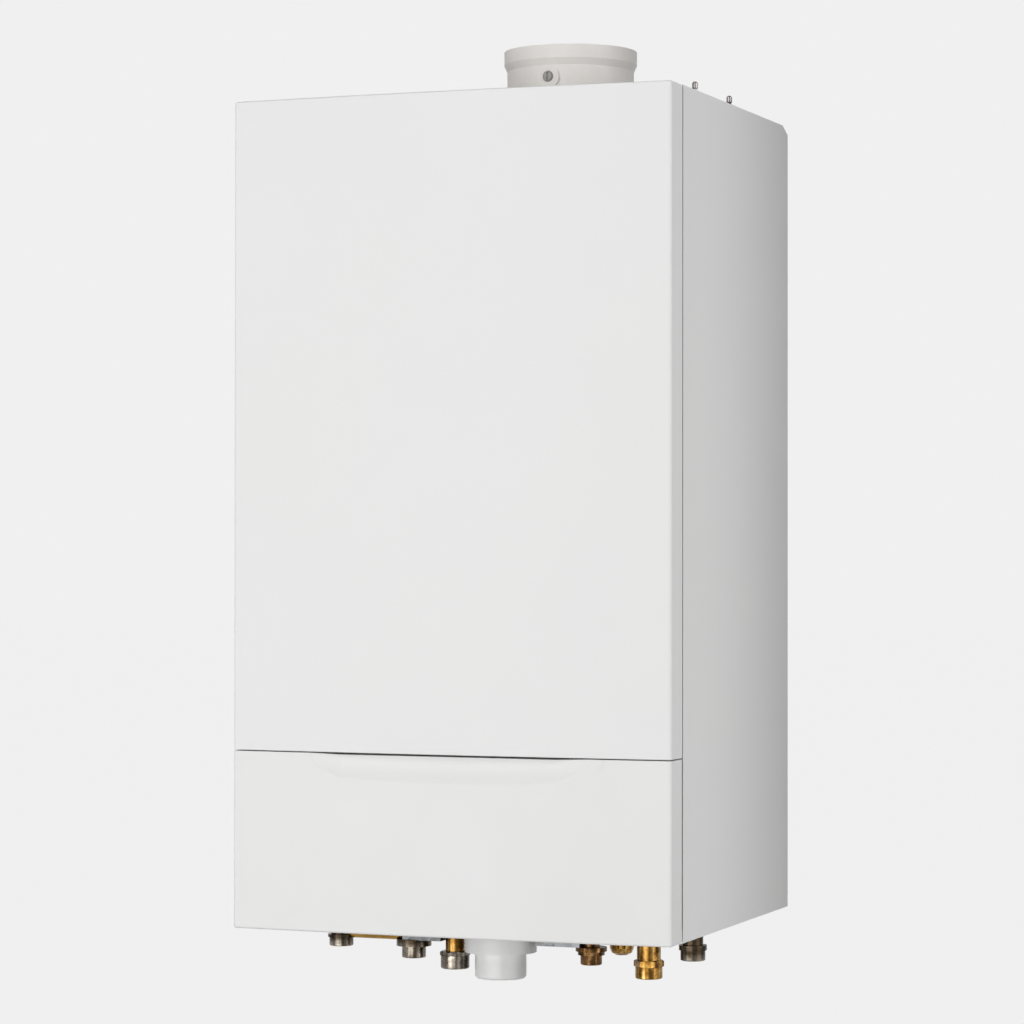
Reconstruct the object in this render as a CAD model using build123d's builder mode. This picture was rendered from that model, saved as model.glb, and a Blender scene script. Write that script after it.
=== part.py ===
from build123d import *
import os

# A wall-hung combi boiler: an enamelled steel casing with a pull-off front cover and a control flap
# that drops down, a twin flue collar on top, pipe ends below, and the working parts inside.
# Sizes are in millimetres. X runs along the front, the wall is the plane y = 0, the front faces -Y.
# Heights are measured from the casing's lower edge, and level() turns them into Z. The origin is the
# middle of the two hanging holes in the back frame, on the wall.

os.makedirs("parts", exist_ok=True)

# ---------------------------------------------------------------- casing sizes
casing_width = 440
casing_height = 790
casing_depth = 378  # wall to the front corners
front_crown = 6  # the middle of the front stands this far proud of its corners
corner_radius = 3
edge_radius = 2
wrap_depth = 32.3  # returns of the front skins round the sides
sheet = 1.2
flap_wall = 2.5
flap_height = 169.2
seam_gap = 1.0
side_gap = 2.4  # between the front skins' returns and the side panels
hang_drop = 38  # from the casing's top to the hanging holes
hang_height = casing_height - hang_drop
hang_spacing = 300
hang_hole_radius = 5
fixing_height = 40
frame_sheet = 1.5
half_width = casing_width / 2
inner_half_width = half_width - sheet
skin_rear = -casing_depth + wrap_depth
side_front = skin_rear + side_gap
front_face = -casing_depth - front_crown
running_gap = 0.05  # shafts in their holes
hub_gap = 0.04  # the gauge needle on its spindle

# ---------------------------------------------------------------- pipe ends below
pipe_row = -203  # the row of pipe ends, measured from the wall
flow_side = 36  # from the casing's side to the flow pipe
relief_side = 35.5
flow_x = -half_width + flow_side
hot_water_x = -105.5
gas_x = -61.6
siphon_x = -13.4
cold_water_x = 80.9
drain_x = 93.4
drain_y = -148
return_spacing = 44.6
relief_x = half_width - relief_side
return_x = relief_x - return_spacing
floor_height = 10
bracket_drop = 24.5  # lower face of the pipe brackets, below the casing's edge
joint_height = 14  # where the pipe ends meet the brass groups
hole_gap = 0.5  # round each pipe in the floor and the brackets
flow_radius = 10.5
hot_radius = 9.5
gas_radius = 9.45
cold_radius = 8.5
return_radius = 11.6
relief_radius = 10
siphon_neck = 18
end_radius = 12  # nickel pipe ends
end_bevel = 0.8
flow_collar = 13.5
flow_collar_span = (-25.6, -22.6)
hot_collar = 17.4
bar_height = -20  # a brass bar that links the flow and hot water ends
bar_radius = 6

# ---------------------------------------------------------------- heights inside, from the floor up
# The gas pipe steps over the control box into the gas valve, the condensate sump lies over the
# valve's coils, and the heat exchanger stands on the sump.
box_low = 16
box_high = 156
gas_step_rise = 24
gas_step = box_high + gas_step_rise
valve_rise = 25
valve_low = gas_step + valve_rise
valve_size = (70, 80)  # depth and height
valve_top = valve_low + valve_size[1]
coil_size = (16, 34)  # radius and height
coil_tip = (7, 6)
sump_gap = 15  # over the valve's coils
sump_low = valve_top + coil_size[1] + coil_tip[1] + sump_gap
sump_height = 60
sump_top = sump_low + sump_height


def level(height):
    """Z of a height above the casing's lower edge."""
    return height - hang_height


def middle(span):
    return (span[0] + span[1]) / 2


def block(x, y, height, mode=Mode.ADD):
    """A rectangular piece between pairs of x, y and height."""
    with Locations((middle(x), middle(y), level(middle(height)))):
        return Box(x[1] - x[0], y[1] - y[0], height[1] - height[0], mode=mode)


def upright(x, y, height, radius, mode=Mode.ADD):
    """A round piece standing up between a pair of heights."""
    with Locations((x, y, level(middle(height)))):
        return Cylinder(radius, height[1] - height[0], mode=mode)


def endwise(x, y, height, radius, mode=Mode.ADD):
    """A round piece lying along Y between a pair of y values."""
    with Locations((x, middle(y), level(height))):
        return Cylinder(radius, y[1] - y[0], rotation=(90, 0, 0), mode=mode)


def sideways(x, y, height, radius, mode=Mode.ADD):
    """A round piece lying along X between a pair of x values."""
    with Locations((middle(x), y, level(height))):
        return Cylinder(radius, x[1] - x[0], rotation=(0, 90, 0), mode=mode)


def turned(x, y, outline, mode=Mode.ADD):
    """A piece turned about an upright axis, from (radius, height) points."""
    with BuildSketch(Plane(origin=(x, y, 0), x_dir=(1, 0, 0), z_dir=(0, -1, 0))) as half:
        with BuildLine():
            Polyline(*[(radius, level(height)) for radius, height in outline], close=True)
        make_face()
    return revolve(half.sketch, axis=Axis((x, y, 0), (0, 0, 1)), mode=mode)


def hexagon_collar(x, y, height, across, turn, chamfer):
    """A hexagonal collar with its corners turned away at both ends, filled right through."""
    with BuildPart() as prism:
        with BuildSketch(Plane(origin=(x, y, level(height[0])))) as hexagon:
            RegularPolygon(across / 2, 6, major_radius=False, rotation=turn)
        extrude(hexagon.sketch, amount=height[1] - height[0])
        corner = across / 3**0.5
        turned(
            x,
            y,
            (
                (0, height[0]),
                (across / 2, height[0]),
                (corner, height[0] + chamfer),
                (corner, height[1] - chamfer),
                (across / 2, height[1]),
                (0, height[1]),
            ),
            Mode.INTERSECT,
        )
    return prism.part


def bent_pipe(points, bend, radius, wall):
    """A pipe along straight runs and round bends through (x, y, height) points."""
    with BuildLine() as route:
        FilletPolyline(*[(x, y, level(height)) for x, y, height in points], radius=bend)
    with BuildSketch(Plane(origin=route.line @ 0, z_dir=route.line % 0)) as ring:
        Circle(radius)
        Circle(radius - wall, mode=Mode.SUBTRACT)
    return sweep(ring.sketch, path=route.line)


def front_prism(height, inset, rear, mode=Mode.ADD):
    """A crowned, round-cornered front skin, drawn inset from its outside."""
    side = half_width - inset
    corner = -casing_depth + inset
    with BuildSketch(Plane.XY.offset(level(height[0]))) as plan:
        with BuildLine():
            Line((-side, rear), (-side, corner))
            ThreePointArc((-side, corner), (0, front_face + inset), (side, corner))
            Line((side, corner), (side, rear))
            Line((side, rear), (-side, rear))
        make_face()
        fillet(plan.vertices().group_by(Axis.Y)[0], corner_radius - inset)
    return extrude(plan.sketch, amount=height[1] - height[0], mode=mode)


def keep(piece, name):
    """Labels a finished piece and writes its file."""
    piece.part.label = name
    export_step(piece.part, f"parts/{name}.step")


# ---------------------------------------------------------------- front cover
# A pressed steel tray that closes the upper front. Four studs inside push into catches on the sides.
cover_bottom = flap_height + seam_gap
stud_radius = 3
stud_inset = 14  # from the casing's side to a stud's axis
stud_margin = (29.8, 30)  # above the cover's lower edge, and below the casing's top
stud_heights = (cover_bottom + stud_margin[0], casing_height - stud_margin[1])
stud_tip = side_front + 14
stud_root = front_face + sheet + front_crown * 0.9
cover_edge = 1

with BuildPart() as front_cover:
    front_prism((cover_bottom, casing_height), 0, skin_rear)
    top_edges = front_cover.edges().group_by(Axis.Z)[-1].sort_by(Axis.Y)[:-1]
    fillet(top_edges, edge_radius)
    bottom_edges = front_cover.edges().group_by(Axis.Z)[0].sort_by(Axis.Y)[:-1]
    fillet(bottom_edges, cover_edge)
    front_prism((cover_bottom + sheet, casing_height - sheet), sheet, 0, Mode.SUBTRACT)
    for side in (-1, 1):
        for height in stud_heights:
            endwise(side * (half_width - stud_inset), (stud_root, stud_tip), height, stud_radius)
keep(front_cover, "front_cover")

# ---------------------------------------------------------------- control flap
# A moulded tray below the seam, hinged at its lower rear corners. A shallow scoop in its upper edge
# takes the fingers.
hinge_inset = 6  # pin axis, from the flap's rear edge and from its lower edge
hinge_y = skin_rear - hinge_inset
pin_radius = 2.5
boss_length = 6
flap_trim = 1.1  # the walls stop this much further from the side panels than the hinge ears
scoop_half_width = 108  # of its level floor
scoop_depth = 6
scoop_run = 7.5  # its ends run out this far for each millimetre of depth
scoop_steps = ((0, 1), (7, 0.97), (13, 0.8), (19.5, 0.42), (26, -0.02))  # drop, and share of the depth
lip_cut = 1.2  # the upper edge lies this much lower along the scoop's floor
lip_run = 25  # the cut's ends run out this far for each millimetre of depth
flange_gap = 9.5  # the lower flange stops this far ahead of the pins


def scoop(front, grow, mode):
    """The finger scoop, or the wall behind it, lofted down from the flap's upper edge."""
    cuts = []
    for drop, share in scoop_steps:
        floor = max(front_face + scoop_depth * share + grow, front + 0.3)
        inner = scoop_half_width + grow
        outer = inner + scoop_run * (floor - front)
        with BuildSketch(Plane.XY.offset(level(flap_height - drop))) as cut:
            Polygon((-outer, front), (outer, front), (inner, floor), (-inner, floor), align=None)
        cuts.append(cut.sketch)
    return loft(cuts, mode=mode)


with BuildPart() as control_flap:
    front_prism((0, flap_height), 0, skin_rear)
    lower_edges = control_flap.edges().group_by(Axis.Z)[0].sort_by(Axis.Y)[:-1]
    fillet(lower_edges, edge_radius)
    front_prism((flap_wall, flap_height - flap_wall), flap_wall, 0, Mode.SUBTRACT)
    scoop(front_face + flap_wall, flap_wall, Mode.ADD)
    scoop(front_face - front_crown, 0, Mode.SUBTRACT)
    with BuildSketch(Plane.XZ.offset(-skin_rear)):
        low = level(flap_height - lip_cut)
        high = level(flap_height + 1)
        inner = scoop_half_width
        outer = inner + lip_run * (high - low)
        Polygon((-outer, high), (outer, high), (inner, low), (-inner, low), align=None)
    extrude(amount=wrap_depth + 2 * front_crown, mode=Mode.SUBTRACT)
    block((-half_width, half_width), (skin_rear - flap_trim, 0), (2 * hinge_inset, flap_height + 1), Mode.SUBTRACT)
    block((-half_width, half_width), (hinge_y, 0), (-1, hinge_inset), Mode.SUBTRACT)
    for side in (-1, 1):
        wall = sorted((side * half_width, side * (half_width - flap_wall)))
        boss = sorted((side * (half_width - flap_wall), side * (half_width - flap_wall - boss_length)))
        sideways(wall, hinge_y, hinge_inset, hinge_inset)
        sideways(boss, hinge_y, hinge_inset, hinge_inset)
    inside = half_width - flap_wall - boss_length
    block((-inside, inside), (hinge_y - flange_gap, 0), (-1, flap_wall + 1), Mode.SUBTRACT)
    for side in (-1, 1):
        boss = sorted((side * (half_width - 1.2 * flap_wall), side * inside))
        sideways(boss, hinge_y, hinge_inset, pin_radius + running_gap, Mode.SUBTRACT)
keep(control_flap, "control_flap")

# ---------------------------------------------------------------- side panels
# Folded sheet. The rear flange laps the back frame, the front flange carries the cover's catches, and
# the upper rear corner is cut away for the sloped rear of the top.
corner_cut_depth = 18
corner_cut_height = 8
front_flange = 24
flange_bottom = 24
rear_flange = 13
stud_hole = 4

with BuildPart() as right_side_panel:
    with BuildSketch(Plane.YZ.offset(inner_half_width)):
        with BuildLine():
            Polyline(
                (side_front, level(0)),
                (0, level(0)),
                (0, level(casing_height - corner_cut_height)),
                (-corner_cut_depth, level(casing_height)),
                (side_front, level(casing_height)),
                close=True,
            )
        make_face()
    extrude(amount=sheet)
    flange_x = (inner_half_width - front_flange, inner_half_width)
    block(flange_x, (side_front, side_front + sheet), (flange_bottom, casing_height - 2 * sheet))
    flange_x = (inner_half_width - rear_flange, inner_half_width)
    flange_y = (-frame_sheet - sheet, -frame_sheet)
    block(flange_x, flange_y, (flange_bottom, casing_height - 2 * corner_cut_height))
    for height in stud_heights:
        stud_x = half_width - stud_inset
        endwise(stud_x, (side_front - 1, side_front + 2 * sheet), height, stud_hole, Mode.SUBTRACT)
keep(right_side_panel, "right_side_panel")

with BuildPart() as left_side_panel:
    mirror(right_side_panel.part, about=Plane.YZ)
keep(left_side_panel, "left_side_panel")

# Spring catches behind the front flanges: each grips one stud of the front cover.
catch_width = 16
catch_depth = 15
catch_y = side_front + sheet

with BuildPart() as cover_catches:
    for side in (-1, 1):
        for height in stud_heights:
            stud_x = side * (half_width - stud_inset)
            span = (stud_x - catch_width / 2, stud_x + catch_width / 2)
            rise = (height - catch_width / 2, height + catch_width / 2)
            block(span, (catch_y, catch_y + catch_depth), rise)
            bore = (catch_y - 1, catch_y + catch_depth + 1)
            endwise(stud_x, bore, height, stud_radius + running_gap, Mode.SUBTRACT)
keep(cover_catches, "cover_catches")

# ---------------------------------------------------------------- back frame
# The steel plate that carries everything. Two upper holes hang it, two lower ones hold it to the wall.
frame_half_width = inner_half_width - 0.5
frame_low = 12
frame_gap = 10  # below the casing's top
frame_high = casing_height - frame_gap
bead_drop = 100  # from the casing's top to the upper bead
bead_heights = (230, 330, casing_height - bead_drop)
bead_radius = 5

with BuildPart() as back_frame:
    frame_span = (-frame_half_width, frame_half_width)
    block(frame_span, (-frame_sheet, 0), (frame_low, frame_high))
    bead_span = (-frame_half_width + 40, frame_half_width - 40)
    for height in bead_heights:
        sideways(bead_span, 0, height, bead_radius)
    for height in bead_heights:
        sideways(bead_span, 0, height, bead_radius - frame_sheet, Mode.SUBTRACT)
    block((-half_width, half_width), (0, 20), (0, casing_height), Mode.SUBTRACT)
    for side in (-1, 1):
        for height in (fixing_height, hang_height):
            hole = (-2 * frame_sheet, frame_sheet)
            endwise(side * hang_spacing / 2, hole, height, hang_hole_radius, Mode.SUBTRACT)
keep(back_frame, "back_frame")

# ---------------------------------------------------------------- floor plate
# Closes the casing below, with a hole for each pipe and a lug at each end for the flap's hinge pins.
floor_sheet = 1.5
floor_front = side_front + 5.3
floor_side_flange = 15
lug_inset = half_width - flap_wall - boss_length - 1.5  # outer face of the hinge lugs
lug_thickness = 2.5
lug_reach = 5.5  # from the pin's axis to the lug's front edge
floor_holes = (
    (flow_x, pipe_row, flow_radius),
    (hot_water_x, pipe_row, hot_radius),
    (gas_x, pipe_row, gas_radius),
    (siphon_x, pipe_row, siphon_neck),
    (cold_water_x, pipe_row, cold_radius),
    (drain_x, drain_y, end_radius),
    (return_x, pipe_row, return_radius),
    (relief_x, pipe_row, relief_radius),
)
floor_top = floor_height + floor_sheet

with BuildPart() as floor_plate:
    block((-inner_half_width, inner_half_width), (floor_front, -frame_sheet), (floor_height, floor_top))
    rear = (-frame_sheet - floor_sheet, -frame_sheet)
    block((-inner_half_width + 20, inner_half_width - 20), rear, (floor_height, frame_low + 14))
    for side in (-1, 1):
        flange = sorted((side * inner_half_width, side * (inner_half_width - floor_sheet)))
        flange_run = (floor_front, -2 * frame_sheet - 4)
        block(flange, flange_run, (floor_height, floor_height + floor_side_flange))
        lug = sorted((side * lug_inset, side * (lug_inset - lug_thickness)))
        block(lug, (hinge_y - lug_reach, floor_front + 8), (1.5, floor_top))
        sideways(lug, hinge_y, hinge_inset, pin_radius, Mode.SUBTRACT)
    for x, y, radius in floor_holes:
        hole = (floor_height - 1, floor_top + 1)
        upright(x, y, hole, radius + hole_gap, Mode.SUBTRACT)
keep(floor_plate, "floor_plate")

# Two steel pins through the lugs, into the blind bosses of the flap.
pin_head_radius = 4.5
pin_head = 2

with BuildPart() as hinge_pins:
    for side in (-1, 1):
        pin = sorted((side * (lug_inset - lug_thickness), side * (half_width - 1.4 * flap_wall)))
        head_out = lug_inset - lug_thickness
        head = sorted((side * head_out, side * (head_out - pin_head)))
        sideways(pin, hinge_y, hinge_inset, pin_radius)
        sideways(head, hinge_y, hinge_inset, pin_head_radius)
keep(hinge_pins, "hinge_pins")

# ---------------------------------------------------------------- pipe brackets
# Two channels of galvanised sheet under the floor. The flanged ends of the hot and the cold water are
# clamped against their webs.
bracket_spans = ((-112.5, -72), (28.1, 73.3))
bracket_sheet = 2
bracket_reach = 13  # half a bracket's depth, front to back
bracket_foot = 8

with BuildPart() as pipe_brackets:
    bracket_y = (pipe_row - bracket_reach, pipe_row + bracket_reach)
    web = (-bracket_drop, -bracket_drop + bracket_sheet)
    wall = (-bracket_drop, floor_height)
    foot = (floor_height - bracket_sheet, floor_height)
    for span in bracket_spans:
        block(span, bracket_y, web)
        block(span, (bracket_y[0], bracket_y[0] + bracket_sheet), wall)
        block(span, (bracket_y[1] - bracket_sheet, bracket_y[1]), wall)
        block(span, (bracket_y[0] - bracket_foot, bracket_y[0] + bracket_sheet), foot)
        block(span, (bracket_y[1] - bracket_sheet, bracket_y[1] + bracket_foot), foot)
    through = (web[0] - 1, web[1] + 1)
    upright(hot_water_x, pipe_row, through, hot_radius + hole_gap, Mode.SUBTRACT)
    upright(cold_water_x, pipe_row, through, cold_radius + hole_gap, Mode.SUBTRACT)
keep(pipe_brackets, "pipe_brackets")

# ---------------------------------------------------------------- top panel
# Folded sheet between the sides. Its rear strip slopes down to the wall.
flue_side = 170  # from the casing's side to the flue's axis
flue_x = half_width - flue_side
flue_setback = 200  # from the casing's front corners back to the flue's axis
flue_y = -casing_depth + flue_setback
collar_radius = 62.25
collar_wall = 2.75
top_stud_side = 15  # from the casing's side
top_stud_x = half_width - top_stud_side
top_stud_y = (-261, -152)
top_stud_radius = 2.75
top_stud_foot = 6  # below the top panel's outside
top_stud_flange = (4.4, 1.5)  # radius and thickness
top_stud_neck = (2.2, 7)  # radius and the height where the head begins
top_stud_tip = 1.6
top_stud_height = 14
top_stud_bevel = 1.5

with BuildPart() as top_panel:
    with BuildSketch(Plane.YZ.offset(-inner_half_width)):
        with BuildLine():
            slope_end = casing_height - corner_cut_height
            Polyline(
                (side_front, level(casing_height)),
                (-corner_cut_depth, level(casing_height)),
                (-0.5, level(slope_end) + 0.2),
                (-0.5, level(slope_end) + 0.2 - sheet),
                (-corner_cut_depth - 0.2, level(casing_height - sheet)),
                (side_front, level(casing_height - sheet)),
                close=True,
            )
        make_face()
    extrude(amount=2 * inner_half_width)
    hole = (casing_height - 2 * sheet, casing_height + 1)
    upright(flue_x, flue_y, hole, collar_radius - collar_wall, Mode.SUBTRACT)
    for y in top_stud_y:
        upright(top_stud_x, y, hole, top_stud_radius, Mode.SUBTRACT)
keep(top_panel, "top_panel")

# Two nickel-plated nipples near the top's right edge.
with BuildPart() as top_studs:
    for y in top_stud_y:
        turned(
            top_stud_x,
            y,
            (
                (0, casing_height - top_stud_foot),
                (top_stud_radius, casing_height - top_stud_foot),
                (top_stud_radius, casing_height),
                (top_stud_flange[0], casing_height),
                (top_stud_flange[0], casing_height + top_stud_flange[1]),
                (top_stud_neck[0], casing_height + top_stud_flange[1]),
                (top_stud_neck[0], casing_height + top_stud_neck[1]),
                (top_stud_radius, casing_height + top_stud_neck[1] + 1),
                (top_stud_radius, casing_height + top_stud_height - top_stud_bevel),
                (top_stud_tip, casing_height + top_stud_height),
                (0, casing_height + top_stud_height),
            ),
        )
keep(top_studs, "top_studs")

# ---------------------------------------------------------------- flue collar
# One moulding with two sockets: the outer rim takes the air duct, the inner tube the flue-gas pipe.
# Three webs join them, and a flange rests on the top panel. A test port looks forward.
rim_radius = 65.25
rim_rise = 60  # above the casing's top
rim_height = casing_height + rim_rise
rim_depth = 13
rim_lip = 6.5
air_socket_radius = 62.75
gas_socket_radius = 40.25
gas_socket_wall = 2.75
stop_rise = 8
socket_drop = 35
socket_stop = casing_height + stop_rise
socket_foot = casing_height - socket_drop
collar_flange = (71, 2.5)  # radius and thickness
socket_stagger = 3  # the inner socket ends this far below the outer one's seat
stop_ring = (2, 3)  # reach and thickness of the ring that stops the flue-gas pipe
collar_web = (3, 24, 12)  # thickness, height, and its middle above the casing
port_rise = 29
port_height = casing_height + port_rise
port_radius = 11
port_hole = 5.5
port_stand = 2.5

gas_socket_top = rim_height - rim_depth - socket_stagger

with BuildPart() as flue_collar:
    turned(
        flue_x,
        flue_y,
        (
            (collar_radius - collar_wall, casing_height),
            (collar_flange[0], casing_height),
            (collar_flange[0], casing_height + collar_flange[1]),
            (collar_radius, casing_height + collar_flange[1]),
            (collar_radius, rim_height - rim_depth - rim_lip),
            (rim_radius, rim_height - rim_depth),
            (rim_radius, rim_height),
            (air_socket_radius, rim_height),
            (air_socket_radius, rim_height - rim_depth),
            (collar_radius - collar_wall, rim_height - rim_depth),
        ),
    )
    turned(
        flue_x,
        flue_y,
        (
            (gas_socket_radius, socket_foot),
            (gas_socket_radius + gas_socket_wall, socket_foot),
            (gas_socket_radius + gas_socket_wall, gas_socket_top),
            (gas_socket_radius, gas_socket_top),
            (gas_socket_radius, socket_stop),
            (gas_socket_radius - stop_ring[0], socket_stop),
            (gas_socket_radius - stop_ring[0], socket_stop - stop_ring[1]),
            (gas_socket_radius, socket_stop - stop_ring[1]),
        ),
    )
    web_length = collar_radius - collar_wall - gas_socket_radius - gas_socket_wall + 1
    web_middle = gas_socket_radius + gas_socket_wall + web_length / 2 - 0.5
    with Locations((flue_x, flue_y, level(casing_height + collar_web[2]))):
        with PolarLocations(web_middle, 3, start_angle=90):
            Box(web_length, collar_web[0], collar_web[1])
    port_front = flue_y - collar_radius
    endwise(flue_x, (port_front - port_stand, port_front + collar_wall / 2), port_height, port_radius)
    port_run = (port_front - port_stand - 1, port_front + 3 * collar_wall)
    endwise(flue_x, port_run, port_height, port_hole, Mode.SUBTRACT)
keep(flue_collar, "flue_collar")

# A screw plug in the test port.
plug_head = (4.2, 1.5)  # radius, and how far it stands out
plug_seat = 0.5  # the plug's rim lies this far inside the port
plug_slot = (1.6, 8)  # width and length

with BuildPart() as test_port_plug:
    plug_front = port_front - port_stand + plug_seat
    endwise(flue_x, (plug_front, port_front + 2 * collar_wall), port_height, port_hole)
    head_front = port_front - port_stand - plug_head[1]
    endwise(flue_x, (head_front, plug_front), port_height, plug_head[0])
    slot_x = (flue_x - plug_slot[0] / 2, flue_x + plug_slot[0] / 2)
    slot_height = (port_height - plug_slot[1] / 2, port_height + plug_slot[1] / 2)
    block(slot_x, (head_front - 1, port_front - port_stand), slot_height, Mode.SUBTRACT)
keep(test_port_plug, "test_port_plug")

# ---------------------------------------------------------------- flue pipe
# The flue-gas pipe from the condensate sump up into the collar's inner tube.
flue_pipe_radius = 40
flue_pipe_wall = 2
socket_height = 40
pipe_top = socket_stop - 4

with BuildPart() as flue_pipe:
    upright(flue_x, flue_y, (sump_top, pipe_top), flue_pipe_radius)
    bore = (sump_top - 1, pipe_top + 1)
    upright(flue_x, flue_y, bore, flue_pipe_radius - flue_pipe_wall, Mode.SUBTRACT)
keep(flue_pipe, "flue_pipe")

# ---------------------------------------------------------------- heat exchanger
# A finned aluminium casting. The burner fires down into its chamber, the gases leave through slots
# below, and the water pipes join on two bosses.
exchanger_spacing = (34, 58)  # from the flow pipe, and from the flue's axis
exchanger_x = (flow_x + exchanger_spacing[0], flue_x - exchanger_spacing[1])
exchanger_setback = 83  # from the casing's front corners
exchanger_depth = 150
exchanger_y = (-casing_depth + exchanger_setback, -casing_depth + exchanger_setback + exchanger_depth)
exchanger_corner = 8
exchanger_drop = 108  # from the casing's top
exchanger_top = casing_height - exchanger_drop
chamber_wall = 10
chamber_depth = 122
chamber_floor = exchanger_top - chamber_depth
fin_pitch = 20
fin_thickness = 3
fin_reach = 4
slot_count = 5
slot_width = 6
boss_reach = 6
boss_radius = 15
flow_boss_drop = 42  # below the exchanger's top
flow_boss_height = exchanger_top - flow_boss_drop
return_boss_setback = 45
return_boss_rise = 40  # above the exchanger's foot
return_boss_y = exchanger_y[0] + return_boss_setback
return_boss_height = sump_top + return_boss_rise
pipe_radius = 11
pipe_wall = 1

with BuildPart() as heat_exchanger:
    block(exchanger_x, exchanger_y, (sump_top, exchanger_top))
    fillet(heat_exchanger.edges().filter_by(Axis.Z), exchanger_corner)
    fin_count = int((exchanger_top - sump_top - fin_pitch) / fin_pitch)
    fin_span = (exchanger_x[0] + chamber_wall, exchanger_x[1] - chamber_wall)
    for fin in range(fin_count):
        low = sump_top + fin_pitch * (fin + 1)
        fin_y = (exchanger_y[0] - fin_reach, exchanger_y[0])
        block(fin_span, fin_y, (low, low + fin_thickness))
    chamber_x = (exchanger_x[0] + chamber_wall, exchanger_x[1] - chamber_wall)
    chamber_y = (exchanger_y[0] + chamber_wall, exchanger_y[1] - chamber_wall)
    block(chamber_x, chamber_y, (chamber_floor, exchanger_top + 1), Mode.SUBTRACT)
    slot_pitch = (chamber_x[1] - chamber_x[0]) / slot_count
    for slot in range(slot_count):
        slot_x = chamber_x[0] + slot_pitch * (slot + 0.5)
        gap = (slot_x - slot_width / 2, slot_x + slot_width / 2)
        block(gap, chamber_y, (sump_top - 1, chamber_floor + 1), Mode.SUBTRACT)
    flow_boss = (exchanger_x[0] - boss_reach, exchanger_x[0] + 1)
    sideways(flow_boss, pipe_row, flow_boss_height, boss_radius)
    return_boss = (exchanger_x[1] - 1, exchanger_x[1] + boss_reach)
    sideways(return_boss, return_boss_y, return_boss_height, boss_radius)
keep(heat_exchanger, "heat_exchanger")

# A bent steel plate that hangs the exchanger on the back frame, over the expansion vessel.
hanger_drop = 18  # below the exchanger's top
hanger_height = exchanger_top - hanger_drop
hanger_sheet = 3
hanger_x = (exchanger_x[0] + chamber_wall, exchanger_x[1] - chamber_wall)
hanger_rise = 20
hanger_fall = 22

with BuildPart() as exchanger_hanger:
    run = (exchanger_y[1], -frame_sheet)
    block(hanger_x, run, (hanger_height, hanger_height + hanger_sheet))
    rear = (-frame_sheet - hanger_sheet, -frame_sheet)
    block(hanger_x, rear, (hanger_height, hanger_height + hanger_rise))
    front = (exchanger_y[1], exchanger_y[1] + hanger_sheet)
    block(hanger_x, front, (hanger_height - hanger_fall, hanger_height))
keep(exchanger_hanger, "exchanger_hanger")

# ---------------------------------------------------------------- burner and hood
# The perforated burner cup hangs in the chamber. The cast hood over it takes the gas and air mixture.
burner_x = middle(exchanger_x)
burner_y = middle(exchanger_y)
burner_radius = 30
burner_drop = 70
burner_rim = 7
burner_flange = burner_radius + burner_rim
burner_wall = 1.5
burner_seat = 3
burner_top = exchanger_top
hood_flange = 5
hood_rise = 55
hood_top = exchanger_top + hood_rise
hood_wall = 4
fan_setback = 85  # from the casing's front corners back to the fan
fan_depth = 62
fan_y = (-casing_depth + fan_setback, -casing_depth + fan_setback + fan_depth)
duct_y = middle(fan_y)
duct_rise = 28  # from the exchanger's top to the duct's axis
duct_height = exchanger_top + duct_rise
duct_radius = 22
duct_wall = 3
bolt_radius = 4
bolt_head = 5
bolt_inset = 5
mixture_mouth = 26

with BuildPart() as burner:
    turned(
        burner_x,
        burner_y,
        (
            (0, burner_top - burner_drop),
            (burner_radius, burner_top - burner_drop),
            (burner_radius, burner_top - burner_seat),
            (burner_flange, burner_top - burner_seat),
            (burner_flange, burner_top),
            (burner_radius - burner_wall, burner_top),
            (burner_radius - burner_wall, burner_top - burner_drop + burner_wall),
            (0, burner_top - burner_drop + burner_wall),
        ),
    )
keep(burner, "burner")

with BuildPart() as burner_hood:
    block(exchanger_x, exchanger_y, (exchanger_top, exchanger_top + hood_flange))
    fillet(burner_hood.edges().filter_by(Axis.Z), exchanger_corner)
    dome_x = (exchanger_x[0] + chamber_wall, exchanger_x[1] - chamber_wall)
    dome_y = (exchanger_y[0] + chamber_wall, exchanger_y[1] - chamber_wall)
    block(dome_x, dome_y, (exchanger_top + hood_flange, hood_top))
    dome_edges = burner_hood.edges().group_by(Axis.Z)[-1]
    fillet(dome_edges, exchanger_corner)
    sideways((burner_x, exchanger_x[1]), duct_y, duct_height, duct_radius)
    hollow_x = (dome_x[0] + hood_wall, dome_x[1] - hood_wall)
    hollow_y = (dome_y[0] + hood_wall, dome_y[1] - hood_wall)
    mouth = (exchanger_top - 1, exchanger_top + hood_flange + 1)
    upright(burner_x, burner_y, mouth, mixture_mouth, Mode.SUBTRACT)
    block(hollow_x, hollow_y, (exchanger_top + hood_flange, hood_top - hood_wall), Mode.SUBTRACT)
    mouth = (burner_x, exchanger_x[1] + 1)
    sideways(mouth, duct_y, duct_height, duct_radius - duct_wall, Mode.SUBTRACT)
    bolt_x = (exchanger_x[0] + bolt_inset, exchanger_x[1] - bolt_inset)
    bolt_y = (exchanger_y[0] + bolt_inset, middle(exchanger_y), exchanger_y[1] - bolt_inset)
    for x in bolt_x:
        for y in bolt_y:
            head = (exchanger_top + hood_flange, exchanger_top + hood_flange + bolt_head)
            upright(x, y, head, bolt_radius)
keep(burner_hood, "burner_hood")

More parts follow.
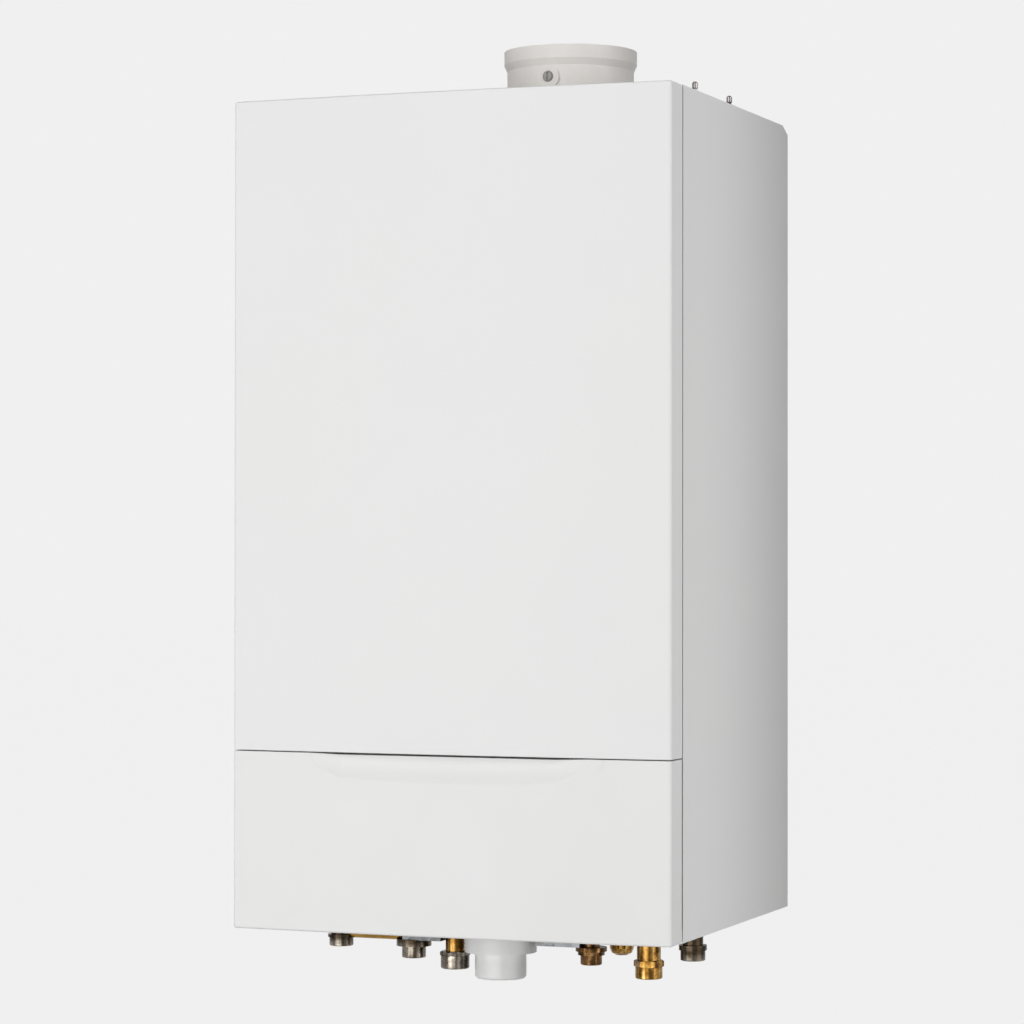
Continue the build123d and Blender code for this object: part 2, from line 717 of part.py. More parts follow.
# ---------------------------------------------------------------- condensate sump
# A plastic tray under the exchanger. The gases turn in it and go up the flue pipe, the water drains.
sump_wall = 3
sump_corner = 6
sump_x = (exchanger_x[0], flue_x + gas_socket_radius + gas_socket_wall + sump_wall)
sump_overhang = 15  # behind the exchanger
sump_y = (exchanger_y[0], exchanger_y[1] + sump_overhang)
drain_nozzle = 12
drain_wall = 2.5
nozzle_drop = 22
nozzle_foot = sump_low - nozzle_drop

with BuildPart() as condensate_sump:
    block(sump_x, sump_y, (sump_low, sump_top))
    fillet(condensate_sump.edges().filter_by(Axis.Z), sump_corner)
    inner_x = (sump_x[0] + sump_wall, sump_x[1] - sump_wall)
    inner_y = (sump_y[0] + sump_wall, sump_y[1] - sump_wall)
    block(inner_x, inner_y, (sump_low + sump_wall, sump_top - sump_wall), Mode.SUBTRACT)
    block(chamber_x, chamber_y, (sump_top - sump_wall - 1, sump_top + 1), Mode.SUBTRACT)
    socket = (sump_top - 1, sump_top + socket_height)
    upright(flue_x, flue_y, socket, gas_socket_radius + gas_socket_wall)
    upright(flue_x, flue_y, (sump_top, socket[1] + 1), gas_socket_radius, Mode.SUBTRACT)
    mouth = (sump_top - sump_wall - 1, sump_top + 1)
    upright(flue_x, flue_y, mouth, flue_pipe_radius - sump_wall, Mode.SUBTRACT)
    upright(siphon_x, pipe_row, (nozzle_foot, sump_low + 1), drain_nozzle)
    bore = (nozzle_foot - 1, sump_low + sump_wall + 1)
    upright(siphon_x, pipe_row, bore, drain_nozzle - drain_wall, Mode.SUBTRACT)
keep(condensate_sump, "condensate_sump")

# ---------------------------------------------------------------- siphon trap
# White plastic. It hangs through the floor, and its flange and cup show below the casing.
cup_radius = 25.3
cup_low = -58.7
cup_top = -33
cup_bore = 20.2
cup_depth = 25
trap_flange = 35.4
trap_flange_top = -16
trap_radius = 28
trap_top = 150
trap_wall = 3
trap_bevel = 6
cup_bevel = 2
inlet_tube_radius = 15

with BuildPart() as siphon_trap:
    turned(
        siphon_x,
        pipe_row,
        (
            (cup_bore, cup_low),
            (cup_radius - cup_bevel, cup_low),
            (cup_radius, cup_low + cup_bevel),
            (cup_radius, cup_top),
            (trap_flange, cup_top),
            (trap_flange, trap_flange_top),
            (siphon_neck, trap_flange_top),
            (siphon_neck, floor_top),
            (trap_radius, floor_top),
            (trap_radius, trap_top - trap_bevel),
            (trap_radius - trap_bevel, trap_top),
            (inlet_tube_radius, trap_top),
            (inlet_tube_radius, sump_low - 1),
            (drain_nozzle + running_gap, sump_low - 1),
            (drain_nozzle + running_gap, nozzle_foot - 1),
            (drain_nozzle - drain_wall, nozzle_foot - 1),
            (drain_nozzle - drain_wall, trap_top - trap_wall),
            (trap_radius - 2 * trap_wall, trap_top - trap_wall),
            (trap_radius - trap_wall, trap_top - 3 * trap_wall),
            (trap_radius - trap_wall, floor_top + trap_wall),
            (siphon_neck - 2 * trap_wall, floor_top + trap_wall),
            (siphon_neck - 2 * trap_wall, cup_low + cup_depth),
            (cup_bore, cup_low + cup_depth),
        ),
    )
keep(siphon_trap, "siphon_trap")

# ---------------------------------------------------------------- fan
# Cast volute with its outlet elbow into the hood, a bladed impeller, the motor behind and the air
# intake in front.
fan_side = 80  # from the casing's side to the fan's axis
fan_rise = 80  # above the return pipe's boss
fan_x = half_width - fan_side
fan_height = return_boss_height + fan_rise
fan_radius = 64
fan_corner = 6
fan_wall = 4
fan_mouth = 26
elbow_offset = 40  # from the fan's axis
elbow_x = fan_x - elbow_offset
elbow_bend = 32
elbow_rise = 20
elbow_foot = fan_height + elbow_rise
elbow_throat = 50
shaft_radius = 4
impeller_radius = 50
impeller_y = (fan_y[0] + 9, fan_y[1] - 13)
impeller_disc = 3
impeller_hub = 10
blade_size = (20, 2)
blade_inset = 12
blade_count = 16
motor_radius = 38
motor_length = 45
motor_corner = 5
motor_rear = fan_y[1] + motor_length
motor_plug = (24, 14)  # width and height of the plug below the motor
shaft_reach = 30

with BuildPart() as fan_housing:
    endwise(fan_x, fan_y, fan_height, fan_radius)
    fillet(fan_housing.edges().filter_by(GeomType.CIRCLE), fan_corner)
    bent_pipe(
        (
            (elbow_x, duct_y, elbow_foot),
            (elbow_x, duct_y, duct_height),
            (exchanger_x[1], duct_y, duct_height),
        ),
        elbow_bend,
        duct_radius,
        duct_wall,
    )
    cavity = (fan_y[0] + fan_wall, fan_y[1] - fan_wall)
    endwise(fan_x, cavity, fan_height, fan_radius - fan_wall, Mode.SUBTRACT)
    throat = (elbow_foot, elbow_foot + elbow_throat)
    upright(elbow_x, duct_y, throat, duct_radius - duct_wall, Mode.SUBTRACT)
    endwise(fan_x, (fan_y[0] - 1, fan_y[0] + fan_wall + 1), fan_height, fan_mouth, Mode.SUBTRACT)
    shaft_hole = (fan_y[1] - fan_wall - 1, fan_y[1] + 1)
    endwise(fan_x, shaft_hole, fan_height, shaft_radius + running_gap, Mode.SUBTRACT)
keep(fan_housing, "fan_housing")

with BuildPart() as fan_impeller:
    endwise(fan_x, (impeller_y[1] - impeller_disc, impeller_y[1]), fan_height, impeller_radius)
    endwise(fan_x, impeller_y, fan_height, impeller_hub)
    endwise(fan_x, (impeller_y[0], fan_y[1] + shaft_reach), fan_height, shaft_radius)
    vane_root = (fan_x, impeller_y[1] - impeller_disc, level(fan_height))
    with BuildSketch(Plane(origin=vane_root, z_dir=(0, -1, 0))) as vanes:
        with PolarLocations(impeller_radius - blade_inset, blade_count):
            Rectangle(*blade_size, rotation=35)
    extrude(vanes.sketch, amount=impeller_y[1] - impeller_y[0] - 2 * impeller_disc)
keep(fan_impeller, "fan_impeller")

with BuildPart() as fan_motor:
    endwise(fan_x, (fan_y[1], motor_rear), fan_height, motor_radius)
    fillet(fan_motor.edges().filter_by(GeomType.CIRCLE).group_by(Axis.Y)[-1], motor_corner)
    bore = (fan_y[1] - 1, fan_y[1] + shaft_reach + 2)
    endwise(fan_x, bore, fan_height, shaft_radius + running_gap, Mode.SUBTRACT)
    plug_top = fan_height - motor_radius + 4
    plug_x = (fan_x - motor_plug[0] / 2, fan_x + motor_plug[0] / 2)
    plug_y = (fan_y[1] + motor_length / 6, motor_rear - motor_length / 6)
    block(plug_x, plug_y, (plug_top - motor_plug[1], plug_top))
keep(fan_motor, "fan_motor")

# The mixing nozzle on the fan's mouth, with a silencer box hanging from it.
silencer_half_width = 36
silencer_setback = 12  # from the casing's front corners
silencer_depth = 36
silencer_x = (fan_x - silencer_half_width, fan_x + silencer_half_width)
silencer_y = (-casing_depth + silencer_setback, -casing_depth + silencer_setback + silencer_depth)
silencer_reach = (130, 40)  # below and above the fan's axis
silencer_low = fan_height - silencer_reach[0]
silencer_high = fan_height + silencer_reach[1]
silencer_wall = 3
silencer_corner = 6
intake_y = (silencer_y[1], fan_y[0])
intake_radius = 32
intake_flange = (42, 4)  # radius and thickness
gas_port_setback = 18  # behind the silencer
gas_port_y = intake_y[0] + gas_port_setback
gas_port_radius = 9
gas_port_bore = 5
gas_port_reach = (36, 20)  # from the fan's axis to the port's two ends
gas_port_x = (fan_x - gas_port_reach[0], fan_x - gas_port_reach[1])

with BuildPart() as air_intake:
    endwise(fan_x, intake_y, fan_height, intake_radius)
    endwise(fan_x, (intake_y[1] - intake_flange[1], intake_y[1]), fan_height, intake_flange[0])
    block(silencer_x, silencer_y, (silencer_low, silencer_high))
    box_edges = air_intake.edges().filter_by(Axis.Y).group_by(Axis.Y)[0]
    fillet(box_edges, silencer_corner)
    sideways(gas_port_x, gas_port_y, fan_height, gas_port_radius)
    inner_x = (silencer_x[0] + silencer_wall, silencer_x[1] - silencer_wall)
    inner_y = (silencer_y[0] + silencer_wall, silencer_y[1] - silencer_wall)
    endwise(fan_x, (middle(inner_y), intake_y[1] + 1), fan_height, fan_mouth, Mode.SUBTRACT)
    block(inner_x, inner_y, (silencer_low - 1, silencer_high - silencer_wall), Mode.SUBTRACT)
    port_run = (gas_port_x[0] - 1, fan_x - fan_mouth + 2)
    sideways(port_run, gas_port_y, fan_height, gas_port_bore, Mode.SUBTRACT)
keep(air_intake, "air_intake")

# ---------------------------------------------------------------- gas line
# From the nut below, a steel pipe steps forward over the control box into the gas valve, and a thin
# tube goes on to the mixing nozzle.
nut_top = -34.4
nut_low = -51.5
nut_across = 26
nut_turn = 25
nut_chamfer = 1
nut_hexagon_low = -39.6
nut_barrel = 14.2  # radius of the round part below the hexagon
nut_bevel = 1
gas_thread = 10.5
gas_thread_length = 11.3
gas_relief = 11.5  # an undercut above the thread takes the pipe's collar
collar_gap = 0.2
nut_lid = 2.6
nut_seat = nut_top - nut_lid
valve_x = (-100, -26)
valve_setback = 48  # from the casing's front corners
valve_corner = 6
valve_depth = (-casing_depth + valve_setback, -casing_depth + valve_setback + valve_size[0])
valve_inlet_setback = 38  # behind the valve's front
valve_y = valve_depth[0] + valve_inlet_setback
valve_outlet = (12, 8)  # radius and reach
coil_spread = 18
valve_port_rise = 40
valve_port_height = valve_low + valve_port_rise
gas_bend = 18
gas_tube_radius = 6
gas_tube_bend = 20
tube_spacing = 59.9  # from the return pipe
tube_x = return_x - tube_spacing

with BuildPart() as gas_pipe:
    bent_pipe(
        (
            (gas_x, pipe_row, nut_seat),
            (gas_x, pipe_row, gas_step),
            (gas_x, valve_y, gas_step),
            (gas_x, valve_y, valve_low - 4),
        ),
        gas_bend,
        gas_radius,
        pipe_wall,
    )
    collar_low = nut_low + gas_thread_length + collar_gap
    upright(gas_x, pipe_row, (collar_low, nut_seat), gas_relief - collar_gap)
    upright(gas_x, valve_y, (valve_low - 5, valve_low), gas_radius + 5)
    upright(gas_x, valve_y, (valve_low - 6, valve_low + 1), gas_radius - pipe_wall, Mode.SUBTRACT)
    upright(gas_x, pipe_row, (nut_low, nut_top), gas_radius - pipe_wall, Mode.SUBTRACT)
keep(gas_pipe, "gas_pipe")

with BuildPart() as gas_nut:
    add(hexagon_collar(gas_x, pipe_row, (nut_hexagon_low, nut_top), nut_across, nut_turn, nut_chamfer))
    turned(
        gas_x,
        pipe_row,
        (
            (0, nut_low),
            (nut_barrel - nut_bevel, nut_low),
            (nut_barrel, nut_low + nut_bevel),
            (nut_barrel, nut_hexagon_low + nut_chamfer),
            (0, nut_hexagon_low + nut_chamfer),
        ),
    )
    thread = (nut_low - 1, nut_low + gas_thread_length)
    upright(gas_x, pipe_row, thread, gas_thread, Mode.SUBTRACT)
    undercut = (nut_low + gas_thread_length, nut_seat)
    upright(gas_x, pipe_row, undercut, gas_relief, Mode.SUBTRACT)
    neck = (nut_low, nut_top + 1)
    upright(gas_x, pipe_row, neck, gas_radius + running_gap, Mode.SUBTRACT)
keep(gas_nut, "gas_nut")

with BuildPart() as gas_valve:
    block(valve_x, valve_depth, (valve_low, valve_top))
    fillet(gas_valve.edges().filter_by(Axis.Z), valve_corner)
    coil_top = valve_top + coil_size[1]
    for side in (-1, 1):
        coil_x = middle(valve_x) + side * coil_spread
        upright(coil_x, middle(valve_depth), (valve_top, coil_top), coil_size[0])
        upright(coil_x, middle(valve_depth), (coil_top, coil_top + coil_tip[1]), coil_tip[0])
    valve_end = valve_x[1] + valve_outlet[1]
    sideways((valve_x[1] - 1, valve_end), gas_port_y, valve_port_height, valve_outlet[0])
    bore = (valve_low - 1, valve_port_height)
    upright(gas_x, valve_y, bore, gas_radius - pipe_wall, Mode.SUBTRACT)
    sideways((gas_x, valve_end + 1), gas_port_y, valve_port_height, gas_port_bore, Mode.SUBTRACT)
keep(gas_valve, "gas_valve")

with BuildPart() as gas_tube:
    bent_pipe(
        (
            (valve_end, gas_port_y, valve_port_height),
            (tube_x, gas_port_y, valve_port_height),
            (tube_x, gas_port_y, fan_height),
            (gas_port_x[0], gas_port_y, fan_height),
        ),
        gas_tube_bend,
        gas_tube_radius,
        pipe_wall,
    )
keep(gas_tube, "gas_tube")

# ---------------------------------------------------------------- pump
# Volute with an inlet below and an outlet above, a vaned impeller, and a canned motor in front.
barrel_height = 80
barrel_radius = 22
barrel_bore = 16
riser_top = 150
pump_radius = 52
pump_reach = 75  # from the riser up to the pump's axis
pump_height = riser_top + pump_reach
pump_half_depth = 29
pump_wall = 7
pump_corner = 5
spigot_radius = 14
spigot_flange = (18, 12)  # radius and thickness
spigot_bore = 10
spigot_reach = 67
pump_outlet = pump_height + spigot_reach
pump_front = pipe_row - pump_half_depth
pump_motor_radius = 44
pump_motor_length = 93
pump_motor_corner = 8
pump_motor_front = pump_front - pump_motor_length
pump_shaft_reach = 55
vent_screw = (9, 4)  # radius, and how far it stands out
terminal_box = (50, 60, 18)  # width, depth and height
terminal_gap = 10  # behind the pump's front face
pump_impeller_radius = 38
pump_disc = 3
pump_hub = 9
vane_size = (28, 3, 14)
vane_place = 22
pump_vanes = 6

with BuildPart() as pump_volute:
    volute_y = (pump_front, pipe_row + pump_half_depth)
    endwise(return_x, volute_y, pump_height, pump_radius)
    fillet(pump_volute.edges().filter_by(GeomType.CIRCLE), pump_corner)
    upright(return_x, pipe_row, (riser_top, pump_outlet), spigot_radius)
    for low in (riser_top, pump_outlet - spigot_flange[1]):
        upright(return_x, pipe_row, (low, low + spigot_flange[1]), spigot_flange[0])
    upright(return_x, pipe_row, (riser_top - 1, pump_outlet + 1), spigot_bore, Mode.SUBTRACT)
    cavity = (volute_y[0] + pump_wall, volute_y[1] - pump_wall)
    endwise(return_x, cavity, pump_height, pump_radius - pump_wall, Mode.SUBTRACT)
    shaft_hole = (pump_front - 1, pump_front + pump_wall + 1)
    endwise(return_x, shaft_hole, pump_height, shaft_radius + running_gap, Mode.SUBTRACT)
keep(pump_volute, "pump_volute")

with BuildPart() as pump_impeller:
    disc_front = pipe_row - vane_size[2] / 2 - pump_disc
    endwise(return_x, (disc_front, disc_front + pump_disc), pump_height, pump_impeller_radius)
    endwise(return_x, (disc_front, pipe_row + vane_size[2] / 2 + pump_disc), pump_height, pump_hub)
    endwise(return_x, (pump_front - pump_shaft_reach, pipe_row), pump_height, shaft_radius)
    vane_root = (return_x, disc_front + pump_disc, level(pump_height))
    with BuildSketch(Plane(origin=vane_root, z_dir=(0, 1, 0))) as vanes:
        with PolarLocations(vane_place, pump_vanes):
            Rectangle(vane_size[0], vane_size[1], rotation=25)
    extrude(vanes.sketch, amount=vane_size[2])
keep(pump_impeller, "pump_impeller")

with BuildPart() as pump_motor:
    endwise(return_x, (pump_motor_front, pump_front), pump_height, pump_motor_radius)
    fillet(pump_motor.edges().filter_by(GeomType.CIRCLE).group_by(Axis.Y)[0], pump_motor_corner)
    terminal_x = (return_x - terminal_box[0] / 2, return_x + terminal_box[0] / 2)
    terminal_y = (pump_front - terminal_gap - terminal_box[1], pump_front - terminal_gap)
    terminal_low = pump_height + pump_motor_radius - 6
    block(terminal_x, terminal_y, (terminal_low, terminal_low + terminal_box[2]))
    screw = (pump_motor_front - vent_screw[1], pump_motor_front + 1)
    endwise(return_x, screw, pump_height, vent_screw[0])
    bore = (pump_front - pump_shaft_reach - 2, pump_front + 1)
    endwise(return_x, bore, pump_height, shaft_radius + running_gap, Mode.SUBTRACT)
keep(pump_motor, "pump_motor")

# ---------------------------------------------------------------- water pipes
# Copper pipes: from the pump up to the exchanger, and from the exchanger down to the flow group.
group_top = 130
pipe_bend = 18
pump_run = 58  # straight run above the pump
boss_run = 43  # straight run below the exchanger's boss

with BuildPart() as return_pipe:
    bent_pipe(
        (
            (return_x, pipe_row, pump_outlet),
            (return_x, pipe_row, pump_outlet + pump_run),
            (return_x, return_boss_y, return_boss_height - boss_run),
            (return_x, return_boss_y, return_boss_height),
            (exchanger_x[1] + boss_reach, return_boss_y, return_boss_height),
        ),
        pipe_bend,
        pipe_radius,
        pipe_wall,
    )
keep(return_pipe, "return_pipe")

with BuildPart() as flow_pipe:
    bent_pipe(
        (
            (flow_x, pipe_row, group_top),
            (flow_x, pipe_row, flow_boss_height),
            (exchanger_x[0] - boss_reach, pipe_row, flow_boss_height),
        ),
        pipe_bend,
        pipe_radius,
        pipe_wall,
    )
keep(flow_pipe, "flow_pipe")

# ---------------------------------------------------------------- brass groups
# Two castings stand on the floor over the pipe ends: the flow group on the left with the diverter
# valve, the return group on the right under the pump. The plate exchanger bridges them behind.
plate_setback = 69  # from the pipe row back to the plate exchanger
plate_y = (pipe_row + plate_setback, pipe_row + plate_setback + 56)
diverter_spacing = 38
diverter_x = flow_x + diverter_spacing
spindle_radius = 4
diverter_travel = 8
flow_span = (flow_x - 16, hot_water_x + 17)
return_span = (cold_water_x - 17, relief_x + 17)
riser_radius = 15
riser_collar = (18, 12)  # radius and height
group_wall = 4
group_corner = 3
plate_boss = 14
port_bore = 8

with BuildPart() as flow_group:
    sideways(flow_span, pipe_row, barrel_height, barrel_radius)
    fillet(flow_group.edges().filter_by(GeomType.CIRCLE), group_corner)
    upright(flow_x, pipe_row, (floor_top, group_top), riser_radius)
    upright(flow_x, pipe_row, (group_top - riser_collar[1], group_top), riser_collar[0])
    upright(hot_water_x, pipe_row, (floor_top, barrel_height), riser_radius)
    upright(diverter_x, pipe_row, (barrel_height, group_top), riser_collar[0])
    endwise(hot_water_x, (pipe_row, plate_y[0]), barrel_height, plate_boss)
    hollow = (flow_span[0] + group_wall, flow_span[1] - group_wall)
    sideways(hollow, pipe_row, barrel_height, barrel_bore, Mode.SUBTRACT)
    upright(flow_x, pipe_row, (joint_height - 1, group_top + 1), spigot_bore, Mode.SUBTRACT)
    upright(hot_water_x, pipe_row, (joint_height - 1, barrel_height), port_bore, Mode.SUBTRACT)
    endwise(hot_water_x, (pipe_row, plate_y[0] + 1), barrel_height, port_bore, Mode.SUBTRACT)
    for x, radius in ((flow_x, flow_radius), (hot_water_x, hot_radius)):
        upright(x, pipe_row, (floor_top - 1, joint_height), radius, Mode.SUBTRACT)
    guide = (barrel_height, group_top + 1)
    upright(diverter_x, pipe_row, guide, spindle_radius + running_gap, Mode.SUBTRACT)
keep(flow_group, "flow_group")

# The diverter valve: a disc on a spindle, lifted by the motor on top.
disc_low = barrel_height - 5
disc_thickness = 3
spindle_top = group_top + 6
diverter_motor_half = 20
diverter_motor_height = 50
diverter_motor_corner = 5
diverter_motor_edge = 3

with BuildPart() as diverter_spindle:
    upright(diverter_x, pipe_row, (disc_low, spindle_top), spindle_radius)
    upright(diverter_x, pipe_row, (disc_low, disc_low + disc_thickness), end_radius)
keep(diverter_spindle, "diverter_spindle")

with BuildPart() as diverter_motor:
    motor_x = (diverter_x - diverter_motor_half, diverter_x + diverter_motor_half)
    motor_y = (pipe_row - diverter_motor_half, pipe_row + diverter_motor_half)
    block(motor_x, motor_y, (group_top, group_top + diverter_motor_height))
    fillet(diverter_motor.edges().filter_by(Axis.Z), diverter_motor_corner)
    fillet(diverter_motor.edges().group_by(Axis.Z)[-1], diverter_motor_edge)
    bore = (group_top - 1, spindle_top + diverter_travel + 2)
    upright(diverter_x, pipe_row, bore, spindle_radius + running_gap, Mode.SUBTRACT)
keep(diverter_motor, "diverter_motor")

hose_spacing = 27.9  # from the return pipe
hose_x = return_x - hose_spacing
hose_nozzle = (8, 4, 28)  # radius, bore, and its end above the barrel's axis
hose_end = barrel_height + hose_nozzle[2]
slim_riser_radius = 13
relief_low = barrel_height + 26
drain_low = -38.4
drain_rise = 7.4  # height of the stub's domed end
drain_neck = 9
drain_shoulder = -22.5

with BuildPart() as return_group:
    sideways(return_span, pipe_row, barrel_height, barrel_radius)
    fillet(return_group.edges().filter_by(GeomType.CIRCLE), group_corner)
    upright(cold_water_x, pipe_row, (floor_top, barrel_height), slim_riser_radius)
    upright(return_x, pipe_row, (floor_top, riser_top), riser_radius)
    upright(return_x, pipe_row, (riser_top - riser_collar[1], riser_top), riser_collar[0])
    upright(relief_x, pipe_row, (floor_top, relief_low), slim_riser_radius)
    upright(hose_x, pipe_row, (barrel_height + 10, hose_end), hose_nozzle[0])
    endwise(drain_x, (pipe_row, plate_y[0]), barrel_height, plate_boss)
    turned(
        drain_x,
        drain_y,
        (
            (0, drain_low),
            (end_radius / 2, drain_low + 0.6),
            (end_radius - 2, drain_low + 2.9),
            (end_radius, drain_low + drain_rise),
            (end_radius, drain_shoulder),
            (drain_neck, drain_shoulder),
            (drain_neck, barrel_height),
            (0, barrel_height),
        ),
    )
    hollow = (return_span[0] + group_wall, return_span[1] - group_wall)
    sideways(hollow, pipe_row, barrel_height, barrel_bore, Mode.SUBTRACT)
    upright(return_x, pipe_row, (joint_height - 1, riser_top + 1), spigot_bore, Mode.SUBTRACT)
    upright(cold_water_x, pipe_row, (joint_height - 1, barrel_height), port_bore, Mode.SUBTRACT)
    upright(relief_x, pipe_row, (joint_height - 1, barrel_height), port_bore, Mode.SUBTRACT)
    upright(hose_x, pipe_row, (barrel_height, hose_end + 1), hose_nozzle[1], Mode.SUBTRACT)
    for x, radius in ((cold_water_x, cold_radius), (return_x, return_radius), (relief_x, relief_radius)):
        upright(x, pipe_row, (floor_top - 1, joint_height), radius, Mode.SUBTRACT)
    endwise(drain_x, (pipe_row, plate_y[0] + 1), barrel_height, port_bore, Mode.SUBTRACT)
keep(return_group, "return_group")

# Stacked, brazed plates with a chamber in each gap, joined by two ports.
plate_reach = 16  # past the ports' axes
plate_half_height = 36
plate_x = (hot_water_x - plate_reach, drain_x + plate_reach)
plate_height = (barrel_height - plate_half_height, barrel_height + plate_half_height)
plate_pitch = 7
plate_thickness = 2.5
plate_lip = 3  # the plates' edges stand this far out of the brazed joints
chamber_inset = 6

with BuildPart() as plate_exchanger:
    block(
        (plate_x[0] + plate_lip, plate_x[1] - plate_lip),
        plate_y,
        (plate_height[0] + plate_lip, plate_height[1] - plate_lip),
    )
    plate_count = int((plate_y[1] - plate_y[0]) / plate_pitch)
    plates = [plate_y[0] + plate * plate_pitch for plate in range(plate_count)]
    for near in plates:
        block(plate_x, (near, near + plate_thickness), plate_height)
    fillet(plate_exchanger.edges().filter_by(Axis.Y), plate_thickness)
    chamber_x = (plate_x[0] + chamber_inset, plate_x[1] - chamber_inset)
    chamber_height = (plate_height[0] + chamber_inset, plate_height[1] - chamber_inset)
    for near in plates[:-1]:
        gap = (near + plate_thickness, near + plate_pitch)
        block(chamber_x, gap, chamber_height, Mode.SUBTRACT)
    for x in (hot_water_x, drain_x):
        endwise(x, (plate_y[0] - 1, plates[-1]), barrel_height, port_bore, Mode.SUBTRACT)
keep(plate_exchanger, "plate_exchanger")

# The relief valve's brass body, with a red cap that turns a quarter turn to lift it.
relief_body = (11, 16)  # radius and height
relief_hexagon = (13, 3, 9)  # radius, and its lower and upper end above the body's foot
relief_body_top = relief_low + relief_body[1]
relief_stem = 12
cap_gap = 0.3
cap_height = 17
cap_radius = 15
cap_edge = 2
cap_flutes = 8
cap_flute_radius = 2.2

with BuildPart() as relief_valve:
    upright(relief_x, pipe_row, (relief_low, relief_body_top), relief_body[0])
    with BuildSketch(Plane(origin=(relief_x, pipe_row, level(relief_low + relief_hexagon[1])))) as hexagon:
        RegularPolygon(relief_hexagon[0], 6)
    extrude(hexagon.sketch, amount=relief_hexagon[2] - relief_hexagon[1])
    upright(relief_x, pipe_row, (relief_body_top, relief_body_top + relief_stem), spindle_radius)
keep(relief_valve, "relief_valve")

with BuildPart() as relief_cap:
    cap_rise = (relief_body_top + cap_gap, relief_body_top + cap_gap + cap_height)
    upright(relief_x, pipe_row, cap_rise, cap_radius)
    fillet(relief_cap.edges().group_by(Axis.Z)[-1], cap_edge)
    with Locations((relief_x, pipe_row, level(middle(cap_rise)))):
        with PolarLocations(cap_radius + 0.5, cap_flutes):
            Cylinder(cap_flute_radius, cap_height + 2, mode=Mode.SUBTRACT)
    bore = (relief_body_top, relief_body_top + relief_stem + cap_gap)
    upright(relief_x, pipe_row, bore, spindle_radius + running_gap, Mode.SUBTRACT)
keep(relief_cap, "relief_cap")

# ---------------------------------------------------------------- expansion vessel
# Two pressed shells with a seam, held by lugs on the back frame, and its hose to the return group.
vessel_reach = (6, 40)  # past the flow pipe, and past the flue's axis
vessel_x = (flow_x - vessel_reach[0], flue_x + vessel_reach[1])
vessel_gap = 17  # behind the exchanger
vessel_y = (exchanger_y[1] + vessel_gap, -14)
vessel_inset = (5, 27)  # above the sump's foot, and below the exchanger's top
vessel_height = (sump_low + vessel_inset[0], exchanger_top - vessel_inset[1])
vessel_corner = 50
vessel_edge = 20
vessel_wall = 1.5
vessel_port = (vessel_x[1] - vessel_corner, middle(vessel_y))
vessel_port_radius = 7
vessel_port_bore = 4
vessel_port_reach = 15
vessel_port_foot = vessel_height[0] - vessel_port_reach
hose_drop = 100  # straight run below the vessel's port
vessel_lug_inset = (60, 55)  # from the vessel's sides, and from its ends
vessel_lug_x = (vessel_x[0] + vessel_lug_inset[0], vessel_x[1] - vessel_lug_inset[0])
vessel_lug_heights = (vessel_height[0] + vessel_lug_inset[1], vessel_height[1] - vessel_lug_inset[1])
vessel_lug = (30, 20)  # width and height
seam_width = 4
seam_reach = 3


def vessel_body(inset):
    """The vessel's rounded body, inset from its outside."""
    with BuildPart() as body:
        block(
            (vessel_x[0] + inset, vessel_x[1] - inset),
            (vessel_y[0] + inset, vessel_y[1] - inset),
            (vessel_height[0] + inset, vessel_height[1] - inset),
        )
        fillet(body.edges().filter_by(Axis.Y), vessel_corner - inset)
        fillet(body.edges().group_by(Axis.Y)[0], vessel_edge - inset)
        fillet(body.edges().group_by(Axis.Y)[-1], vessel_edge - inset)
    return body.part


vessel_outside = vessel_body(0)
vessel_inside = vessel_body(vessel_wall)

with BuildPart() as expansion_vessel:
    add(vessel_outside)
    seam_origin = (middle(vessel_x), middle(vessel_y) + seam_width / 2, level(middle(vessel_height)))
    with BuildSketch(Plane(origin=seam_origin, x_dir=(1, 0, 0), z_dir=(0, -1, 0))) as seam:
        RectangleRounded(
            vessel_x[1] - vessel_x[0] + 2 * seam_reach,
            vessel_height[1] - vessel_height[0] + 2 * seam_reach,
            vessel_corner + seam_reach,
        )
    extrude(seam.sketch, amount=seam_width)
    for lug_height in vessel_lug_heights:
        lug_rise = (lug_height - vessel_lug[1] / 2, lug_height + vessel_lug[1] / 2)
        for lug_x in vessel_lug_x:
            lug_span = (lug_x - vessel_lug[0] / 2, lug_x + vessel_lug[0] / 2)
            block(lug_span, (vessel_y[1] - 1, -frame_sheet), lug_rise)
    port_run = (vessel_port_foot, vessel_height[0] + 2 * vessel_wall)
    upright(*vessel_port, port_run, vessel_port_radius)
    add(vessel_inside, mode=Mode.SUBTRACT)
    bore = (vessel_port_foot - 1, vessel_height[0] + 4 * vessel_wall)
    upright(*vessel_port, bore, vessel_port_bore, Mode.SUBTRACT)
keep(expansion_vessel, "expansion_vessel")

hose_radius = 6
hose_wall = 1.5
hose_bend = 20
hose_rise = (52, 34)  # above the nozzle's end: where the hose turns forward, and where it turns down
hose_setback = 8  # behind the drain stub's axis

with BuildPart() as vessel_hose:
    bent_pipe(
        (
            (*vessel_port, vessel_port_foot),
            (*vessel_port, vessel_port_foot - hose_drop),
            (hose_x, drain_y + hose_setback, hose_end + hose_rise[0]),
            (hose_x, pipe_row, hose_end + hose_rise[1]),
            (hose_x, pipe_row, hose_end),
        ),
        hose_bend,
        hose_radius,
        hose_wall,
    )
keep(vessel_hose, "vessel_hose")

# ---------------------------------------------------------------- pipe ends
# Nickel-plated ends of the flow, the hot water and the relief outlet, and brass ends of the cold water
# and the return. Each meets its group's riser above the floor.
hot_collar_span = (-31, -bracket_drop)
cold_collar_span = (-32.2, -28.5)
cold_flange = 15.3


